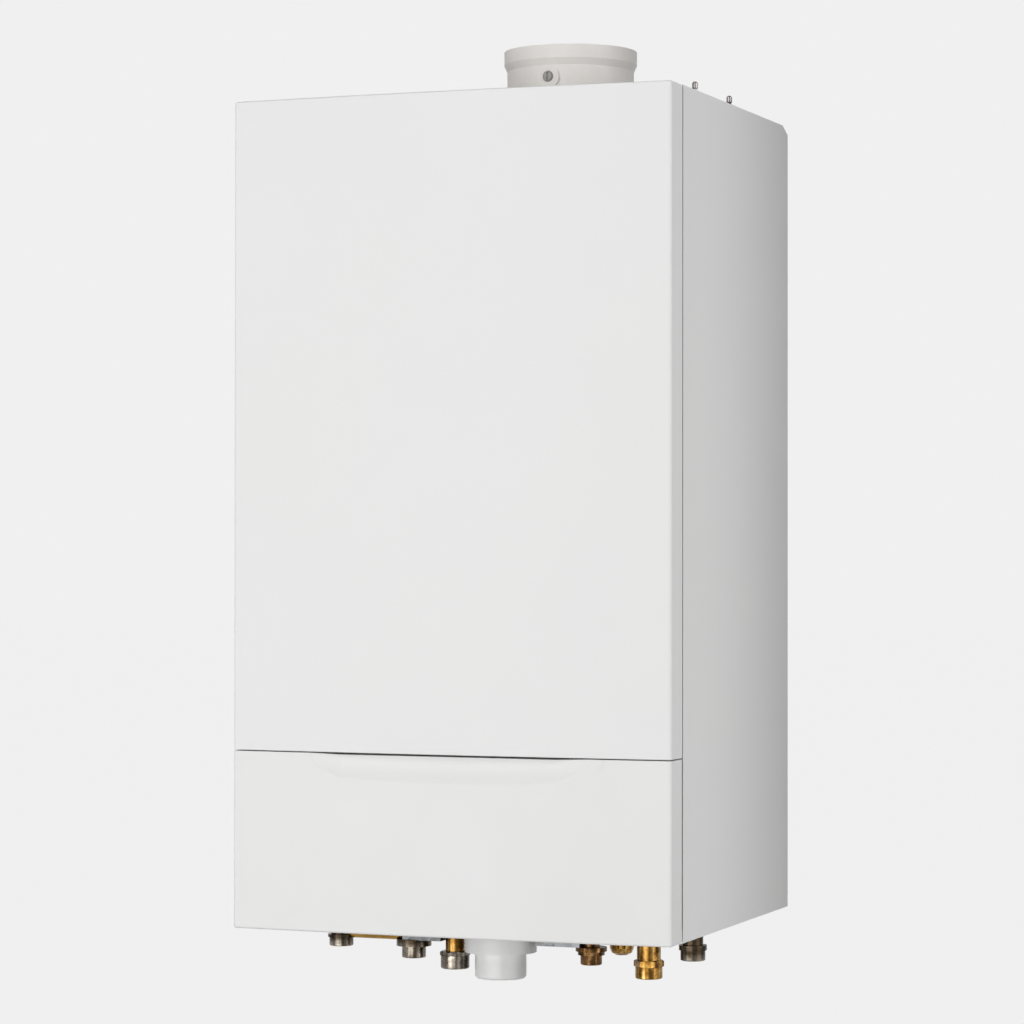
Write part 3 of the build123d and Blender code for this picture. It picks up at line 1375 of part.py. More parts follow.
def pipe_end(x, radius, bore, collar, collar_span, end_low, outer):
    """A pipe with a collar and a plain cylindrical end, bored through."""
    turned(
        x,
        pipe_row,
        (
            (bore, end_low),
            (outer - end_bevel, end_low),
            (outer, end_low + end_bevel),
            (outer, collar_span[0]),
            (collar, collar_span[0]),
            (collar, collar_span[1]),
            (radius, collar_span[1]),
            (radius, joint_height),
            (bore, joint_height),
        ),
    )


with BuildPart() as flow_connector:
    pipe_end(flow_x, flow_radius, 9, flow_collar, flow_collar_span, -34.2, end_radius)
keep(flow_connector, "flow_connector")

with BuildPart() as hot_water_connector:
    pipe_end(hot_water_x, hot_radius, 8, hot_collar, hot_collar_span, -42.7, end_radius)
keep(hot_water_connector, "hot_water_connector")

with BuildPart() as cold_water_connector:
    pipe_end(cold_water_x, cold_radius, 7, 13.1, cold_collar_span, -41.7, 10.5)
    turned(
        cold_water_x,
        pipe_row,
        (
            (cold_radius, cold_collar_span[1]),
            (cold_flange, cold_collar_span[1]),
            (cold_flange, -bracket_drop),
            (cold_radius, -bracket_drop),
        ),
    )
keep(cold_water_connector, "cold_water_connector")

with BuildPart() as relief_outlet:
    pipe_end(relief_x, relief_radius, 8, 13.5, (-22.9, -18.1), -33, end_radius)
keep(relief_outlet, "relief_outlet")

return_end = 13.2
return_bore = 9.5
return_collar = (-41.2, -34.5)
return_low = -52.3
return_across = 25.6
return_turn = 12
return_chamfer = 0.8

with BuildPart() as return_connector:
    turned(
        return_x,
        pipe_row,
        (
            (return_bore, return_low),
            (return_end - end_bevel, return_low),
            (return_end, return_low + end_bevel),
            (return_end, return_collar[0]),
            (return_radius, return_collar[0]),
            (return_radius, joint_height),
            (return_bore, joint_height),
        ),
    )
    add(hexagon_collar(return_x, pipe_row, return_collar, return_across, return_turn, return_chamfer))
    upright(return_x, pipe_row, return_collar, return_bore, Mode.SUBTRACT)
keep(return_connector, "return_connector")

# A brass bar soldered between the flow and hot water ends, notched round them.
with BuildPart() as link_bar:
    bar_span = (flow_x + flow_radius, hot_water_x - hot_radius)
    sideways(bar_span, pipe_row, bar_height, bar_radius)
    bar_rise = (bar_height - bar_radius - 1, bar_height + bar_radius + 1)
    upright(flow_x, pipe_row, bar_rise, flow_radius, Mode.SUBTRACT)
    upright(flow_x, pipe_row, (bar_rise[0], flow_collar_span[1]), flow_collar, Mode.SUBTRACT)
    upright(hot_water_x, pipe_row, bar_rise, hot_radius, Mode.SUBTRACT)
    upright(hot_water_x, pipe_row, (bar_rise[0], hot_collar_span[1]), hot_collar, Mode.SUBTRACT)
keep(link_bar, "link_bar")

# ---------------------------------------------------------------- control box
# A moulded tub on the floor plate behind the flap, closed by the control panel. The circuit board
# stands on four posts inside.
box_side_gap = 22.8  # to the side panels, for the front flanges
box_half_width = inner_half_width - box_side_gap
box_wall = 2.5
box_corner = 6
panel_setback = 40  # from the casing's front corners
panel_front = -casing_depth + panel_setback
panel_thickness = 3
panel_edge = 2
panel_rear = panel_front + 16
box_rear = panel_rear + 51
board_y = panel_rear + 16
board_thickness = 1.6
board_half_width = box_half_width - 26
board_height = (box_low + 14, box_high - 14)
post_radius = 4
post_x = board_half_width - 10
post_heights = (board_height[0] + 8, board_height[1] - 8)
box_foot_x = 140
box_foot = (30, 30)
control_height = 85
control_inset = 46  # the gauge and the switch, from the panel's ends
gauge_x = -box_half_width + control_inset
knob_x = 75
switch_x = box_half_width - control_inset
button_x = 20
button_height = 56
window_half_width = 32
window_height = (88, 122)

with BuildPart() as control_box:
    block((-box_half_width, box_half_width), (panel_rear, box_rear), (box_low, box_high))
    fillet(control_box.edges().filter_by(Axis.Y), box_corner)
    block(
        (-box_half_width + box_wall, box_half_width - box_wall),
        (panel_rear - 1, box_rear - box_wall),
        (box_low + box_wall, box_high - box_wall),
        Mode.SUBTRACT,
    )
    for side in (-1, 1):
        foot_x = (side * box_foot_x - box_foot[0] / 2, side * box_foot_x + box_foot[0] / 2)
        foot_y = (box_rear - box_wall - box_foot[1], box_rear - box_wall)
        block(foot_x, foot_y, (floor_top, box_low + 1))
        for height in post_heights:
            endwise(side * post_x, (board_y + board_thickness, box_rear - 1), height, post_radius)
keep(control_box, "control_box")

gauge_radius = 22
window_rebate = 1
spindle_knob = 3
button_radius = 7
switch_half_width = 9
switch_half_height = 13
switch_gap = 0.8
switch_y = panel_front + 5
switch_pin = 1.5
switch_pin_reach = 2.2
switch_frame = 4
front_gap = 0.3  # round the gauge and the keys
window_lap = 3  # the window rests on a ledge this wide

with BuildPart() as control_panel:
    block((-box_half_width, box_half_width), (panel_front, panel_rear), (box_low, box_high))
    fillet(control_panel.edges().filter_by(Axis.Y), box_corner)
    fillet(control_panel.edges().group_by(Axis.Y)[0], panel_edge)
    block(
        (-box_half_width + box_wall, box_half_width - box_wall),
        (panel_front + panel_thickness, panel_rear + 1),
        (box_low + box_wall, box_high - box_wall),
        Mode.SUBTRACT,
    )
    frame_half = switch_half_width + switch_gap + switch_frame
    frame_rise = switch_half_height + switch_gap + switch_frame
    block(
        (switch_x - frame_half, switch_x + frame_half),
        (panel_front + 1, switch_y + 5),
        (control_height - frame_rise, control_height + frame_rise),
    )
    through = (panel_front - 1, switch_y + 6)
    endwise(gauge_x, through, control_height, gauge_radius + front_gap, Mode.SUBTRACT)
    for x in (-knob_x, knob_x):
        endwise(x, through, control_height, spindle_knob + hole_gap, Mode.SUBTRACT)
    for x in (-button_x, button_x):
        endwise(x, through, button_height, button_radius + front_gap, Mode.SUBTRACT)
    view_x = (-window_half_width + window_lap, window_half_width - window_lap)
    view_height = (window_height[0] + window_lap, window_height[1] - window_lap)
    block(view_x, through, view_height, Mode.SUBTRACT)
    rebate = (panel_front - 1, panel_front + window_rebate)
    block((-window_half_width, window_half_width), rebate, window_height, Mode.SUBTRACT)
    opening = switch_half_width + switch_gap
    block(
        (switch_x - opening, switch_x + opening),
        through,
        (control_height - switch_half_height - switch_gap, control_height + switch_half_height + switch_gap),
        Mode.SUBTRACT,
    )
    pin_hole = (switch_x - opening - switch_pin_reach - 0.3, switch_x + opening + switch_pin_reach + 0.3)
    sideways(pin_hole, switch_y, control_height, switch_pin + running_gap, Mode.SUBTRACT)
keep(control_panel, "control_panel")

window_fit = 0.1
window_stand = 0.6
window_edge = 0.4

with BuildPart() as panel_window:
    block(
        (-window_half_width + window_fit, window_half_width - window_fit),
        (panel_front - window_stand, panel_front + window_rebate),
        (window_height[0] + window_fit, window_height[1] - window_fit),
    )
    fillet(panel_window.edges().group_by(Axis.Y)[0], window_edge)
keep(panel_window, "panel_window")

# The board carries the display, two potentiometers whose spindles reach the knobs, two key switches
# and the mains parts.
knob_gap = 0.5
knob_depth = 16
knob_bore = 11.5
spindle_tip = panel_front - knob_gap - knob_bore + 0.5
key_travel = 1.5
key_gap = 0.3  # a pressed key stops this far ahead of its switch
key_switch_half = 4
button_flange = 1.5
display_half_width = window_half_width - 2
display_height = (window_height[0] - 4, window_height[1] + 4)
display_depth = 14
dial_half = 9  # half the width of a potentiometer
dial_depth = 8
plug_row = ((20, 65), (108, 138), 9)  # from the board's left end, height and depth of the plug sockets
transformer = ((70, 35), (60, 110), 26)  # from the board's right end, height and depth
relay = (18, 16, 18)  # width, height and depth
relay_pitch = 24
relay_first = -60
capacitor = (6, 28)  # radius and length
capacitor_pitch = 16
capacitor_first = (60, 110)

with BuildPart() as circuit_board:
    board_span = (-board_half_width, board_half_width)
    block(board_span, (board_y, board_y + board_thickness), board_height)
    display_x = (-display_half_width, display_half_width)
    block(display_x, (board_y - display_depth, board_y), display_height)
    for x in (-knob_x, knob_x):
        body = (control_height - dial_half, control_height + dial_half)
        block((x - dial_half, x + dial_half), (board_y - dial_depth, board_y), body)
        endwise(x, (spindle_tip, board_y), control_height, spindle_knob)
    key_front = panel_front + panel_thickness + button_flange + key_travel + key_gap
    key_rise = (button_height - key_switch_half, button_height + key_switch_half)
    for x in (-button_x, button_x):
        block((x - key_switch_half, x + key_switch_half), (key_front, board_y), key_rise)
    plug_x = (-board_half_width + plug_row[0][0], -board_half_width + plug_row[0][1])
    block(plug_x, (board_y - plug_row[2], board_y), plug_row[1])
    back = board_y + board_thickness
    transformer_x = (board_half_width - transformer[0][0], board_half_width - transformer[0][1])
    block(transformer_x, (back, board_y + transformer[2]), transformer[1])
    relay_rise = (board_height[0] + 10, board_height[0] + 10 + relay[1])
    for step in range(5):
        relay_x = relay_first + step * relay_pitch
        relay_span = (relay_x - relay[0] / 2, relay_x + relay[0] / 2)
        block(relay_span, (back, board_y + relay[2]), relay_rise)
    for step in range(3):
        capacitor_x = capacitor_first[0] + capacitor_pitch * step
        endwise(capacitor_x, (board_y + 1, board_y + 1 + capacitor[1]), capacitor_first[1], capacitor[0])
keep(circuit_board, "circuit_board")

# ---------------------------------------------------------------- knobs, keys and switch
knob_radius = 19
grip_count = 18
grip_radius = 1.6
grip_offset = 0.6  # the flutes' axes lie this far outside the knob
pointer_size = (2.4, 1.2)  # width and stand
pointer_root = 5


def knob(x):
    """A temperature knob: a fluted barrel with a raised pointer, on its spindle."""
    rear = panel_front - knob_gap
    endwise(x, (rear - knob_depth, rear), control_height, knob_radius)
    with Locations((x, rear - knob_depth / 2, level(control_height))):
        with Locations(Rotation(90, 0, 0)):
            with PolarLocations(knob_radius + grip_offset, grip_count):
                Cylinder(grip_radius, knob_depth - 6, mode=Mode.SUBTRACT)
    pointer_x = (x - pointer_size[0] / 2, x + pointer_size[0] / 2)
    pointer_y = (rear - knob_depth - pointer_size[1], rear - knob_depth)
    block(pointer_x, pointer_y, (control_height + pointer_root, control_height + knob_radius - 2))
    bore = (rear - knob_bore, rear + 1)
    endwise(x, bore, control_height, spindle_knob + running_gap, Mode.SUBTRACT)


with BuildPart() as heating_knob:
    knob(-knob_x)
keep(heating_knob, "heating_knob")

with BuildPart() as water_knob:
    knob(knob_x)
keep(water_knob, "water_knob")


button_stand = 4
button_rim = 8.5


def button(x):
    """A push key with a flange behind the panel."""
    rear = panel_front + panel_thickness + button_flange
    endwise(x, (panel_front - button_stand, rear), button_height, button_radius)
    endwise(x, (panel_front + panel_thickness, rear), button_height, button_rim)


with BuildPart() as minus_button:
    button(-button_x)
    fillet(minus_button.edges().group_by(Axis.Y)[0], 1)
keep(minus_button, "minus_button")

with BuildPart() as plus_button:
    button(button_x)
    fillet(plus_button.edges().group_by(Axis.Y)[0], 1)
keep(plus_button, "plus_button")

# The rocker rests tilted to OFF and turns to ON about its two pins.
rocker_tilt = 8
rocker_front = 8
rocker_rear = 4
rocker_dish = 1.5
rocker_taper = 4

with BuildPart() as power_switch:
    rocker_origin = (switch_x - switch_half_width, switch_y, level(control_height))
    tilted = Vector(0, 1, 0).rotate(Axis.X, rocker_tilt)
    with BuildSketch(Plane(origin=rocker_origin, x_dir=tilted, z_dir=(1, 0, 0))) as side_view:
        with BuildLine():
            Polyline(
                (-rocker_front, switch_half_height),
                (-rocker_front + rocker_dish, 0),
                (-rocker_front, -switch_half_height),
                (rocker_rear, -switch_half_height + rocker_taper),
                (rocker_rear, switch_half_height - rocker_taper),
                close=True,
            )
        make_face()
    extrude(side_view.sketch, amount=2 * switch_half_width)
    pin_span = (switch_x - opening - switch_pin_reach, switch_x + opening + switch_pin_reach)
    sideways(pin_span, switch_y, control_height, switch_pin)
keep(power_switch, "power_switch")

# ---------------------------------------------------------------- pressure gauge
# A cup with a dial floor, a needle on its spindle, and an open front that a glass closes.
gauge_rim = 24
gauge_stand = 3
gauge_depth = 28
gauge_wall = 1.5
gauge_edge = 1.2
gauge_port = (4, 2)
dial_y = panel_front + 4
needle_y = (panel_front + 1.5, panel_front + 2.3)
needle_hub = 2.6
needle_pivot = 1
needle_tail = 6
needle_length = 15

with BuildPart() as pressure_gauge:
    gauge_rear = panel_front + gauge_depth
    endwise(gauge_x, (panel_front, gauge_rear), control_height, gauge_radius)
    endwise(gauge_x, (panel_front - gauge_stand, panel_front), control_height, gauge_rim)
    fillet(pressure_gauge.edges().group_by(Axis.Y)[0], gauge_edge)
    dial_run = (panel_front - gauge_stand - 1, dial_y)
    endwise(gauge_x, dial_run, control_height, gauge_radius - gauge_wall, Mode.SUBTRACT)
    endwise(gauge_x, (needle_y[0] - 0.5, dial_y), control_height, needle_pivot)
    endwise(gauge_x, (needle_y[1] + 0.2, dial_y), control_height, 2 * needle_pivot)
    endwise(gauge_x, (gauge_rear, gauge_rear + gauge_port[1]), control_height, gauge_port[0])
keep(pressure_gauge, "pressure_gauge")

# The needle rests at the lower left, on zero.
with BuildPart() as gauge_needle:
    endwise(gauge_x, needle_y, control_height, needle_hub)
    needle_origin = (gauge_x, needle_y[1], level(control_height))
    with BuildSketch(Plane(origin=needle_origin, x_dir=(-1, 0, -1), z_dir=(0, -1, 0))) as blade:
        with BuildLine():
            Polyline(
                (-needle_tail, -1),
                (needle_length, -0.3),
                (needle_length, 0.3),
                (-needle_tail, 1),
                close=True,
            )
        make_face()
    extrude(blade.sketch, amount=needle_y[1] - needle_y[0])
    hub_bore = (needle_y[0] - 1, needle_y[1] + 1)
    endwise(gauge_x, hub_bore, control_height, needle_pivot + hub_gap, Mode.SUBTRACT)
keep(gauge_needle, "gauge_needle")
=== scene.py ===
import math

import bmesh
import bpy
from mathutils import Matrix, Vector


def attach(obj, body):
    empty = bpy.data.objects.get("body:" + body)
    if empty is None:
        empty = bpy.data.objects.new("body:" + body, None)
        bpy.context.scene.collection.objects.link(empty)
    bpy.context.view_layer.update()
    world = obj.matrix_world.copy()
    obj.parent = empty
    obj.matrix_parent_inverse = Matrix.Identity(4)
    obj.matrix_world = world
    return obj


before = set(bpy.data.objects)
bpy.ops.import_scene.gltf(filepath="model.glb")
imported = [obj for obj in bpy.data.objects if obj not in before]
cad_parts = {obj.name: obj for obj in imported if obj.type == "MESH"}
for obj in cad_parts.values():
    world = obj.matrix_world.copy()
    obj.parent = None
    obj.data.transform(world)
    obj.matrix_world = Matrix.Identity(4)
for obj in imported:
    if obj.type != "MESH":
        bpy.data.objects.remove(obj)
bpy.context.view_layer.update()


# ---------------------------------------------------------------- studio
# The boiler hangs over a pale floor in front of a pale surround. The camera stands to the right of the
# casing's middle, at about half its height, with a long lens. Three soft lamps give nearly all the light.
def tone(red, green, blue):
    """A colour given in screen values from 11 to 255, as linear light."""
    return tuple(((value / 255 + 0.055) / 1.055) ** 2.4 for value in (red, green, blue)) + (1,)


camera_data = bpy.data.cameras.new("camera")
camera_data.sensor_width = 36
camera_data.lens = 119.08
camera_data.clip_end = 200
camera = bpy.data.objects.new("camera", camera_data)
camera.location = (1.182935, -3.310283, -0.384284)
camera_tilt, camera_roll, camera_swing = 0.00919, -0.00081, 0.36429
camera.rotation_euler = (math.pi / 2 + camera_tilt, camera_roll, camera_swing)
bpy.context.scene.collection.objects.link(camera)
bpy.context.scene.camera = camera
bpy.context.scene.view_settings.view_transform = "Standard"

surround_tone = tone(240, 240, 240)


def shown_ray(tree):
    """One for camera, glossy and transmission rays, which see the pale surround as it is."""
    path = tree.nodes.new("ShaderNodeLightPath")
    either = tree.nodes.new("ShaderNodeMath")
    either.operation = "MAXIMUM"
    tree.links.new(path.outputs["Is Camera Ray"], either.inputs[0])
    tree.links.new(path.outputs["Is Glossy Ray"], either.inputs[1])
    any_of = tree.nodes.new("ShaderNodeMath")
    any_of.operation = "MAXIMUM"
    tree.links.new(either.outputs[0], any_of.inputs[0])
    tree.links.new(path.outputs["Is Transmission Ray"], any_of.inputs[1])
    return any_of.outputs[0]


world = bpy.data.worlds.new("surround")
world.use_nodes = True
bpy.context.scene.world = world
sky = world.node_tree
sky_out = sky.nodes["World Output"]
sky_light = sky.nodes["Background"]
sky_light.inputs["Color"].default_value = (1, 1, 1, 1)
sky_light.inputs["Strength"].default_value = 0.03
sky_seen = sky.nodes.new("ShaderNodeBackground")
sky_seen.inputs["Color"].default_value = surround_tone
sky_seen.inputs["Strength"].default_value = 1
sky_mix = sky.nodes.new("ShaderNodeMixShader")
sky.links.new(shown_ray(sky), sky_mix.inputs[0])
sky.links.new(sky_light.outputs[0], sky_mix.inputs[1])
sky.links.new(sky_seen.outputs[0], sky_mix.inputs[2])
sky.links.new(sky_mix.outputs[0], sky_out.inputs["Surface"])

floor_level, floor_reach = -1.9, 60
floor_mesh = bpy.data.meshes.new("studio_floor")
floor_shape = bmesh.new()
bmesh.ops.create_circle(
    floor_shape, cap_ends=True, segments=64, radius=floor_reach, matrix=Matrix.Translation((0, 0, floor_level)))
floor_shape.to_mesh(floor_mesh)
floor_shape.free()
studio_floor = bpy.data.objects.new("studio_floor", floor_mesh)
bpy.context.scene.collection.objects.link(studio_floor)
floor_finish = bpy.data.materials.new("studio_floor")
floor_finish.use_nodes = True
ground = floor_finish.node_tree
ground.nodes.remove(ground.nodes["Principled BSDF"])
ground_lit = ground.nodes.new("ShaderNodeBsdfDiffuse")
ground_lit.inputs["Color"].default_value = (0.6, 0.6, 0.6, 1)
ground_soft = ground.nodes.new("ShaderNodeBsdfDiffuse")
ground_soft.inputs["Color"].default_value = (0.1, 0.1, 0.1, 1)
ground_glow = ground.nodes.new("ShaderNodeEmission")
ground_glow.inputs["Color"].default_value = (0.865, 0.865, 0.865, 1)
ground_seen = ground.nodes.new("ShaderNodeAddShader")
ground_mix = ground.nodes.new("ShaderNodeMixShader")
ground.links.new(ground_soft.outputs[0], ground_seen.inputs[0])
ground.links.new(ground_glow.outputs[0], ground_seen.inputs[1])
ground.links.new(shown_ray(ground), ground_mix.inputs[0])
ground.links.new(ground_lit.outputs[0], ground_mix.inputs[1])
ground.links.new(ground_seen.outputs[0], ground_mix.inputs[2])
ground.links.new(ground_mix.outputs[0], ground.nodes["Material Output"].inputs["Surface"])
floor_mesh.materials.append(floor_finish)


def soft_lamp(name, place, aim, width, height, watts):
    """A soft box lamp at a place, aimed at a point."""
    lamp_data = bpy.data.lights.new(name, "AREA")
    lamp_data.shape = "RECTANGLE"
    lamp_data.size = width
    lamp_data.size_y = height
    lamp_data.energy = watts
    lamp = bpy.data.objects.new(name, lamp_data)
    lamp.location = place
    lamp.rotation_euler = (Vector(aim) - Vector(place)).to_track_quat("-Z", "Y").to_euler()
    bpy.context.scene.collection.objects.link(lamp)


soft_lamp("key_lamp", (-0.6, -3.4, -0.85), (0, -0.38, -0.45), 3.0, 2.6, 86)
soft_lamp("side_lamp", (0.64, -0.31, -0.33), (0.2, -0.31, -0.33), 0.3, 1.7, 2.9)
soft_lamp("top_lamp", (0.1, -2.4, 1.9), (0, -0.3, -0.3), 1.8, 1.2, 30)


# ---------------------------------------------------------------- white casing sheets
# Front cover, side panels and top panel: pressed and folded steel with baked white enamel. The enamel
# has a fine orange-peel skin. The sheets hook into each other and screw to the back frame.
class Finish:
    """A surface finish built from patterns that are read in the boiler's own space."""

    def __init__(self, name, roughness, metallic=0.0, **sockets):
        self.material = bpy.data.materials.new(name)
        self.material.use_nodes = True
        self.tree = self.material.node_tree
        self.shader = self.tree.nodes["Principled BSDF"]
        self.shader.inputs["Roughness"].default_value = roughness
        self.shader.inputs["Metallic"].default_value = metallic
        for socket, value in sockets.items():
            self.shader.inputs[socket.replace("_", " ")].default_value = value
        self.place = self.tree.nodes.new("ShaderNodeTexCoord").outputs["Object"]
        self.normal = None

    def add(self, kind, **settings):
        """A new node with these settings."""
        node = self.tree.nodes.new(kind)
        for key, value in settings.items():
            setattr(node, key, value)
        return node

    def mapped(self, turn=(0, 0, 0), stretch=(1, 1, 1)):
        """The place, turned and stretched."""
        shift = self.add("ShaderNodeMapping")
        self.tree.links.new(self.place, shift.inputs["Vector"])
        shift.inputs["Rotation"].default_value = turn
        shift.inputs["Scale"].default_value = stretch
        return shift.outputs["Vector"]

    def cloud(self, scale, detail=3.0, place=None, rough=0.5):
        """Soft noise with this many blobs to the metre."""
        noise = self.add("ShaderNodeTexNoise")
        noise.inputs["Scale"].default_value = scale
        noise.inputs["Detail"].default_value = detail
        noise.inputs["Roughness"].default_value = rough
        self.tree.links.new(place or self.place, noise.inputs["Vector"])
        return noise.outputs["Fac"]

    def cells(self, scale, feature="F1", output="Distance", place=None):
        """Crystals or pores with this many to the metre."""
        voronoi = self.add("ShaderNodeTexVoronoi", feature=feature)
        voronoi.inputs["Scale"].default_value = scale
        self.tree.links.new(place or self.place, voronoi.inputs["Vector"])
        return voronoi.outputs[output]

    def bands(self, scale, along, distortion=0.0, place=None):
        """Evenly spaced lines that follow each other along a direction."""
        wave = self.add("ShaderNodeTexWave", wave_type="BANDS", bands_direction=along)
        wave.inputs["Scale"].default_value = scale
        wave.inputs["Distortion"].default_value = distortion
        wave.inputs["Detail Scale"].default_value = 2
        self.tree.links.new(place or self.place, wave.inputs["Vector"])
        return wave.outputs["Fac"]

    def ramp(self, pattern, *stops):
        """Colours spread over a pattern's values."""
        colours = self.add("ShaderNodeValToRGB")
        while len(colours.color_ramp.elements) < len(stops):
            colours.color_ramp.elements.new(0.5)
        for element, (position, colour) in zip(colours.color_ramp.elements, stops):
            element.position = position
            element.color = colour
        self.tree.links.new(pattern, colours.inputs["Fac"])
        return colours.outputs["Color"]

    def spread(self, pattern, low, high, new_low, new_high):
        """A pattern's values from low to high, spread over a new range."""
        remap = self.add("ShaderNodeMapRange")
        self.tree.links.new(pattern, remap.inputs["Value"])
        for name, value in (("From Min", low), ("From Max", high), ("To Min", new_low), ("To Max", new_high)):
            remap.inputs[name].default_value = value
        return remap.outputs["Result"]

    def join(self, value, socket):
        """Sets a plain value on a socket, or links a pattern to it."""
        if isinstance(value, (int, float, tuple)):
            socket.default_value = value
        else:
            self.tree.links.new(value, socket)

    def worked(self, one, other, how):
        """Two values or patterns put together by a named operation."""
        maths = self.add("ShaderNodeMath", operation=how)
        self.join(one, maths.inputs[0])
        self.join(other, maths.inputs[1])
        return maths.outputs[0]

    def over(self, below, above, mask):
        """One colour laid over another where the mask is one."""
        mix = self.add("ShaderNodeMix", data_type="RGBA")
        self.join(mask, mix.inputs[0])
        self.join(below, mix.inputs[6])
        self.join(above, mix.inputs[7])
        return mix.outputs[2]

    def along(self, axis):
        """The place along an axis (0, 1 or 2)."""
        parts = self.add("ShaderNodeSeparateXYZ")
        self.tree.links.new(self.place, parts.inputs[0])
        return parts.outputs[axis]

    def beyond(self, axis, limit):
        """One where the place along an axis is past a limit."""
        return self.worked(self.along(axis), limit, "GREATER_THAN")

    def streaks(self, scale):
        """Upright streaks of painted reflection, light and dark, with this many to the metre, broken up by
        blotches.
        """
        upright = self.cloud(scale, 2, self.mapped(stretch=(1, 1, 0.08)))
        return self.worked(upright, self.cloud(scale * 0.4, 5, rough=0.6), "MULTIPLY")

    def paint(self, colour):
        """The colour of the surface."""
        self.tree.links.new(colour, self.shader.inputs["Base Color"])
        return self

    def gloss(self, pattern, low, high, rough_low, rough_high):
        """Roughness that follows a pattern."""
        roughness = self.spread(pattern, low, high, rough_low, rough_high)
        self.tree.links.new(roughness, self.shader.inputs["Roughness"])
        return self

    def relief(self, pattern, depth, strength):
        """Bumps of this depth in metres, on top of those already there."""
        bump = self.add("ShaderNodeBump")
        bump.inputs["Strength"].default_value = strength
        bump.inputs["Distance"].default_value = depth
        self.tree.links.new(pattern, bump.inputs["Height"])
        if self.normal is not None:
            self.tree.links.new(self.normal, bump.inputs["Normal"])
        self.normal = bump.outputs["Normal"]
        self.tree.links.new(self.normal, self.shader.inputs["Normal"])
        return self


def dress(finish, *nodes):
    """Gives CAD nodes a finish."""
    for node in nodes:
        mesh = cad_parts[node].data
        mesh.materials.clear()
        mesh.materials.append(finish.material)


white_enamel = Finish("white_enamel", 0.4, Specular_IOR_Level=0.25)
white_enamel.paint(white_enamel.ramp(
    white_enamel.cloud(2.2, 4),
    (0.3, tone(231, 231, 230)), (0.5, tone(232, 232, 232)), (0.7, tone(234, 234, 234))))
white_enamel.gloss(white_enamel.cloud(9, 5, rough=0.6), 0.3, 0.7, 0.36, 0.46)
white_enamel.relief(white_enamel.cloud(620, 2), 0.00004, 0.5)
white_enamel.relief(white_enamel.cloud(7, 1), 0.0006, 0.2)
dress(white_enamel, "front_cover", "left_side_panel", "right_side_panel", "top_panel")

# ---------------------------------------------------------------- control flap
# An injection moulding in white plastic to match the enamel, with a fine spark-eroded grain. It swings
# down on two steel pins and snaps shut at its upper corners.
white_moulding = Finish("white_moulding", 0.48, Specular_IOR_Level=0.25)
white_moulding.paint(white_moulding.ramp(
    white_moulding.cloud(5, 4),
    (0.3, tone(230, 230, 229)), (0.5, tone(232, 232, 231)), (0.7, tone(233, 233, 233))))
white_moulding.gloss(white_moulding.cloud(40, 4), 0.3, 0.7, 0.42, 0.54)
white_moulding.relief(white_moulding.cells(2400), 0.00003, 0.35)
dress(white_moulding, "control_flap")

steel_pin = Finish("steel_pin", 0.28, 1.0)
steel_pin.paint(steel_pin.ramp(
    steel_pin.cloud(160, 4), (0.35, tone(140, 140, 142)), (0.7, tone(172, 172, 174))))
steel_pin.gloss(steel_pin.cloud(700, 2), 0.3, 0.7, 0.22, 0.38)
steel_pin.relief(steel_pin.bands(90, along="X", distortion=1.5), 0.00001, 0.4)
dress(steel_pin, "hinge_pins", "diverter_spindle")

# ---------------------------------------------------------------- galvanised sheets
# Back frame, floor plate, pipe brackets and exchanger hanger: hot-dip galvanised steel with its
# spangle of zinc crystals, dulled where it was handled. They are riveted and folded together.
galvanised = Finish("galvanised_sheet", 0.42, 0.85)
crystal_tone = galvanised.add("ShaderNodeSeparateColor")
galvanised.tree.links.new(galvanised.cells(110, output="Color"), crystal_tone.inputs[0])
zinc = galvanised.ramp(
    crystal_tone.outputs[0], (0.1, tone(92, 94, 97)), (0.5, tone(106, 108, 110)), (0.9, tone(124, 126, 128)))
dulled = galvanised.spread(galvanised.cloud(14, 5, rough=0.65), 0.45, 0.7, 0, 0.8)
galvanised.paint(galvanised.over(zinc, tone(96, 96, 93), dulled))
galvanised.gloss(crystal_tone.outputs[1], 0, 1, 0.42, 0.54)
galvanised.relief(crystal_tone.outputs[2], 0.00001, 0.25)
galvanised.relief(galvanised.cloud(900, 2), 0.00001, 0.4)
dress(galvanised, "back_frame", "floor_plate", "pipe_brackets", "exchanger_hanger")


def piece(name, shape, body, finish):
    """Turns a finished shape into a piece that rides on a body."""
    bmesh.ops.recalc_face_normals(shape, faces=shape.faces)
    mesh = bpy.data.meshes.new(name)
    shape.to_mesh(mesh)
    shape.free()
    mesh.shade_smooth()
    mesh.set_sharp_from_angle(angle=math.radians(35))
    mesh.materials.append(finish.material)
    made = bpy.data.objects.new(name, mesh)
    bpy.context.scene.collection.objects.link(made)
    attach(made, body)


casing_foot = -752


def at(x, y, height):
    """A point from millimetres, with the height measured from the casing's lower edge."""
    return Vector((x, y, height + casing_foot)) / 1000


def facing(place, axis):
    """A turn and shift that brings a shape's upright axis to a place and direction."""
    return Matrix.Translation(place) @ Vector(axis).to_track_quat("Z", "Y").to_matrix().to_4x4()


def cross(angle):
    """The share of the radius that a cross takes up at an angle."""
    arm_half_angle, between_arms = 0.3, 0.4
    return 1 if min(angle % (math.pi / 2), -angle % (math.pi / 2)) < arm_half_angle else between_arms


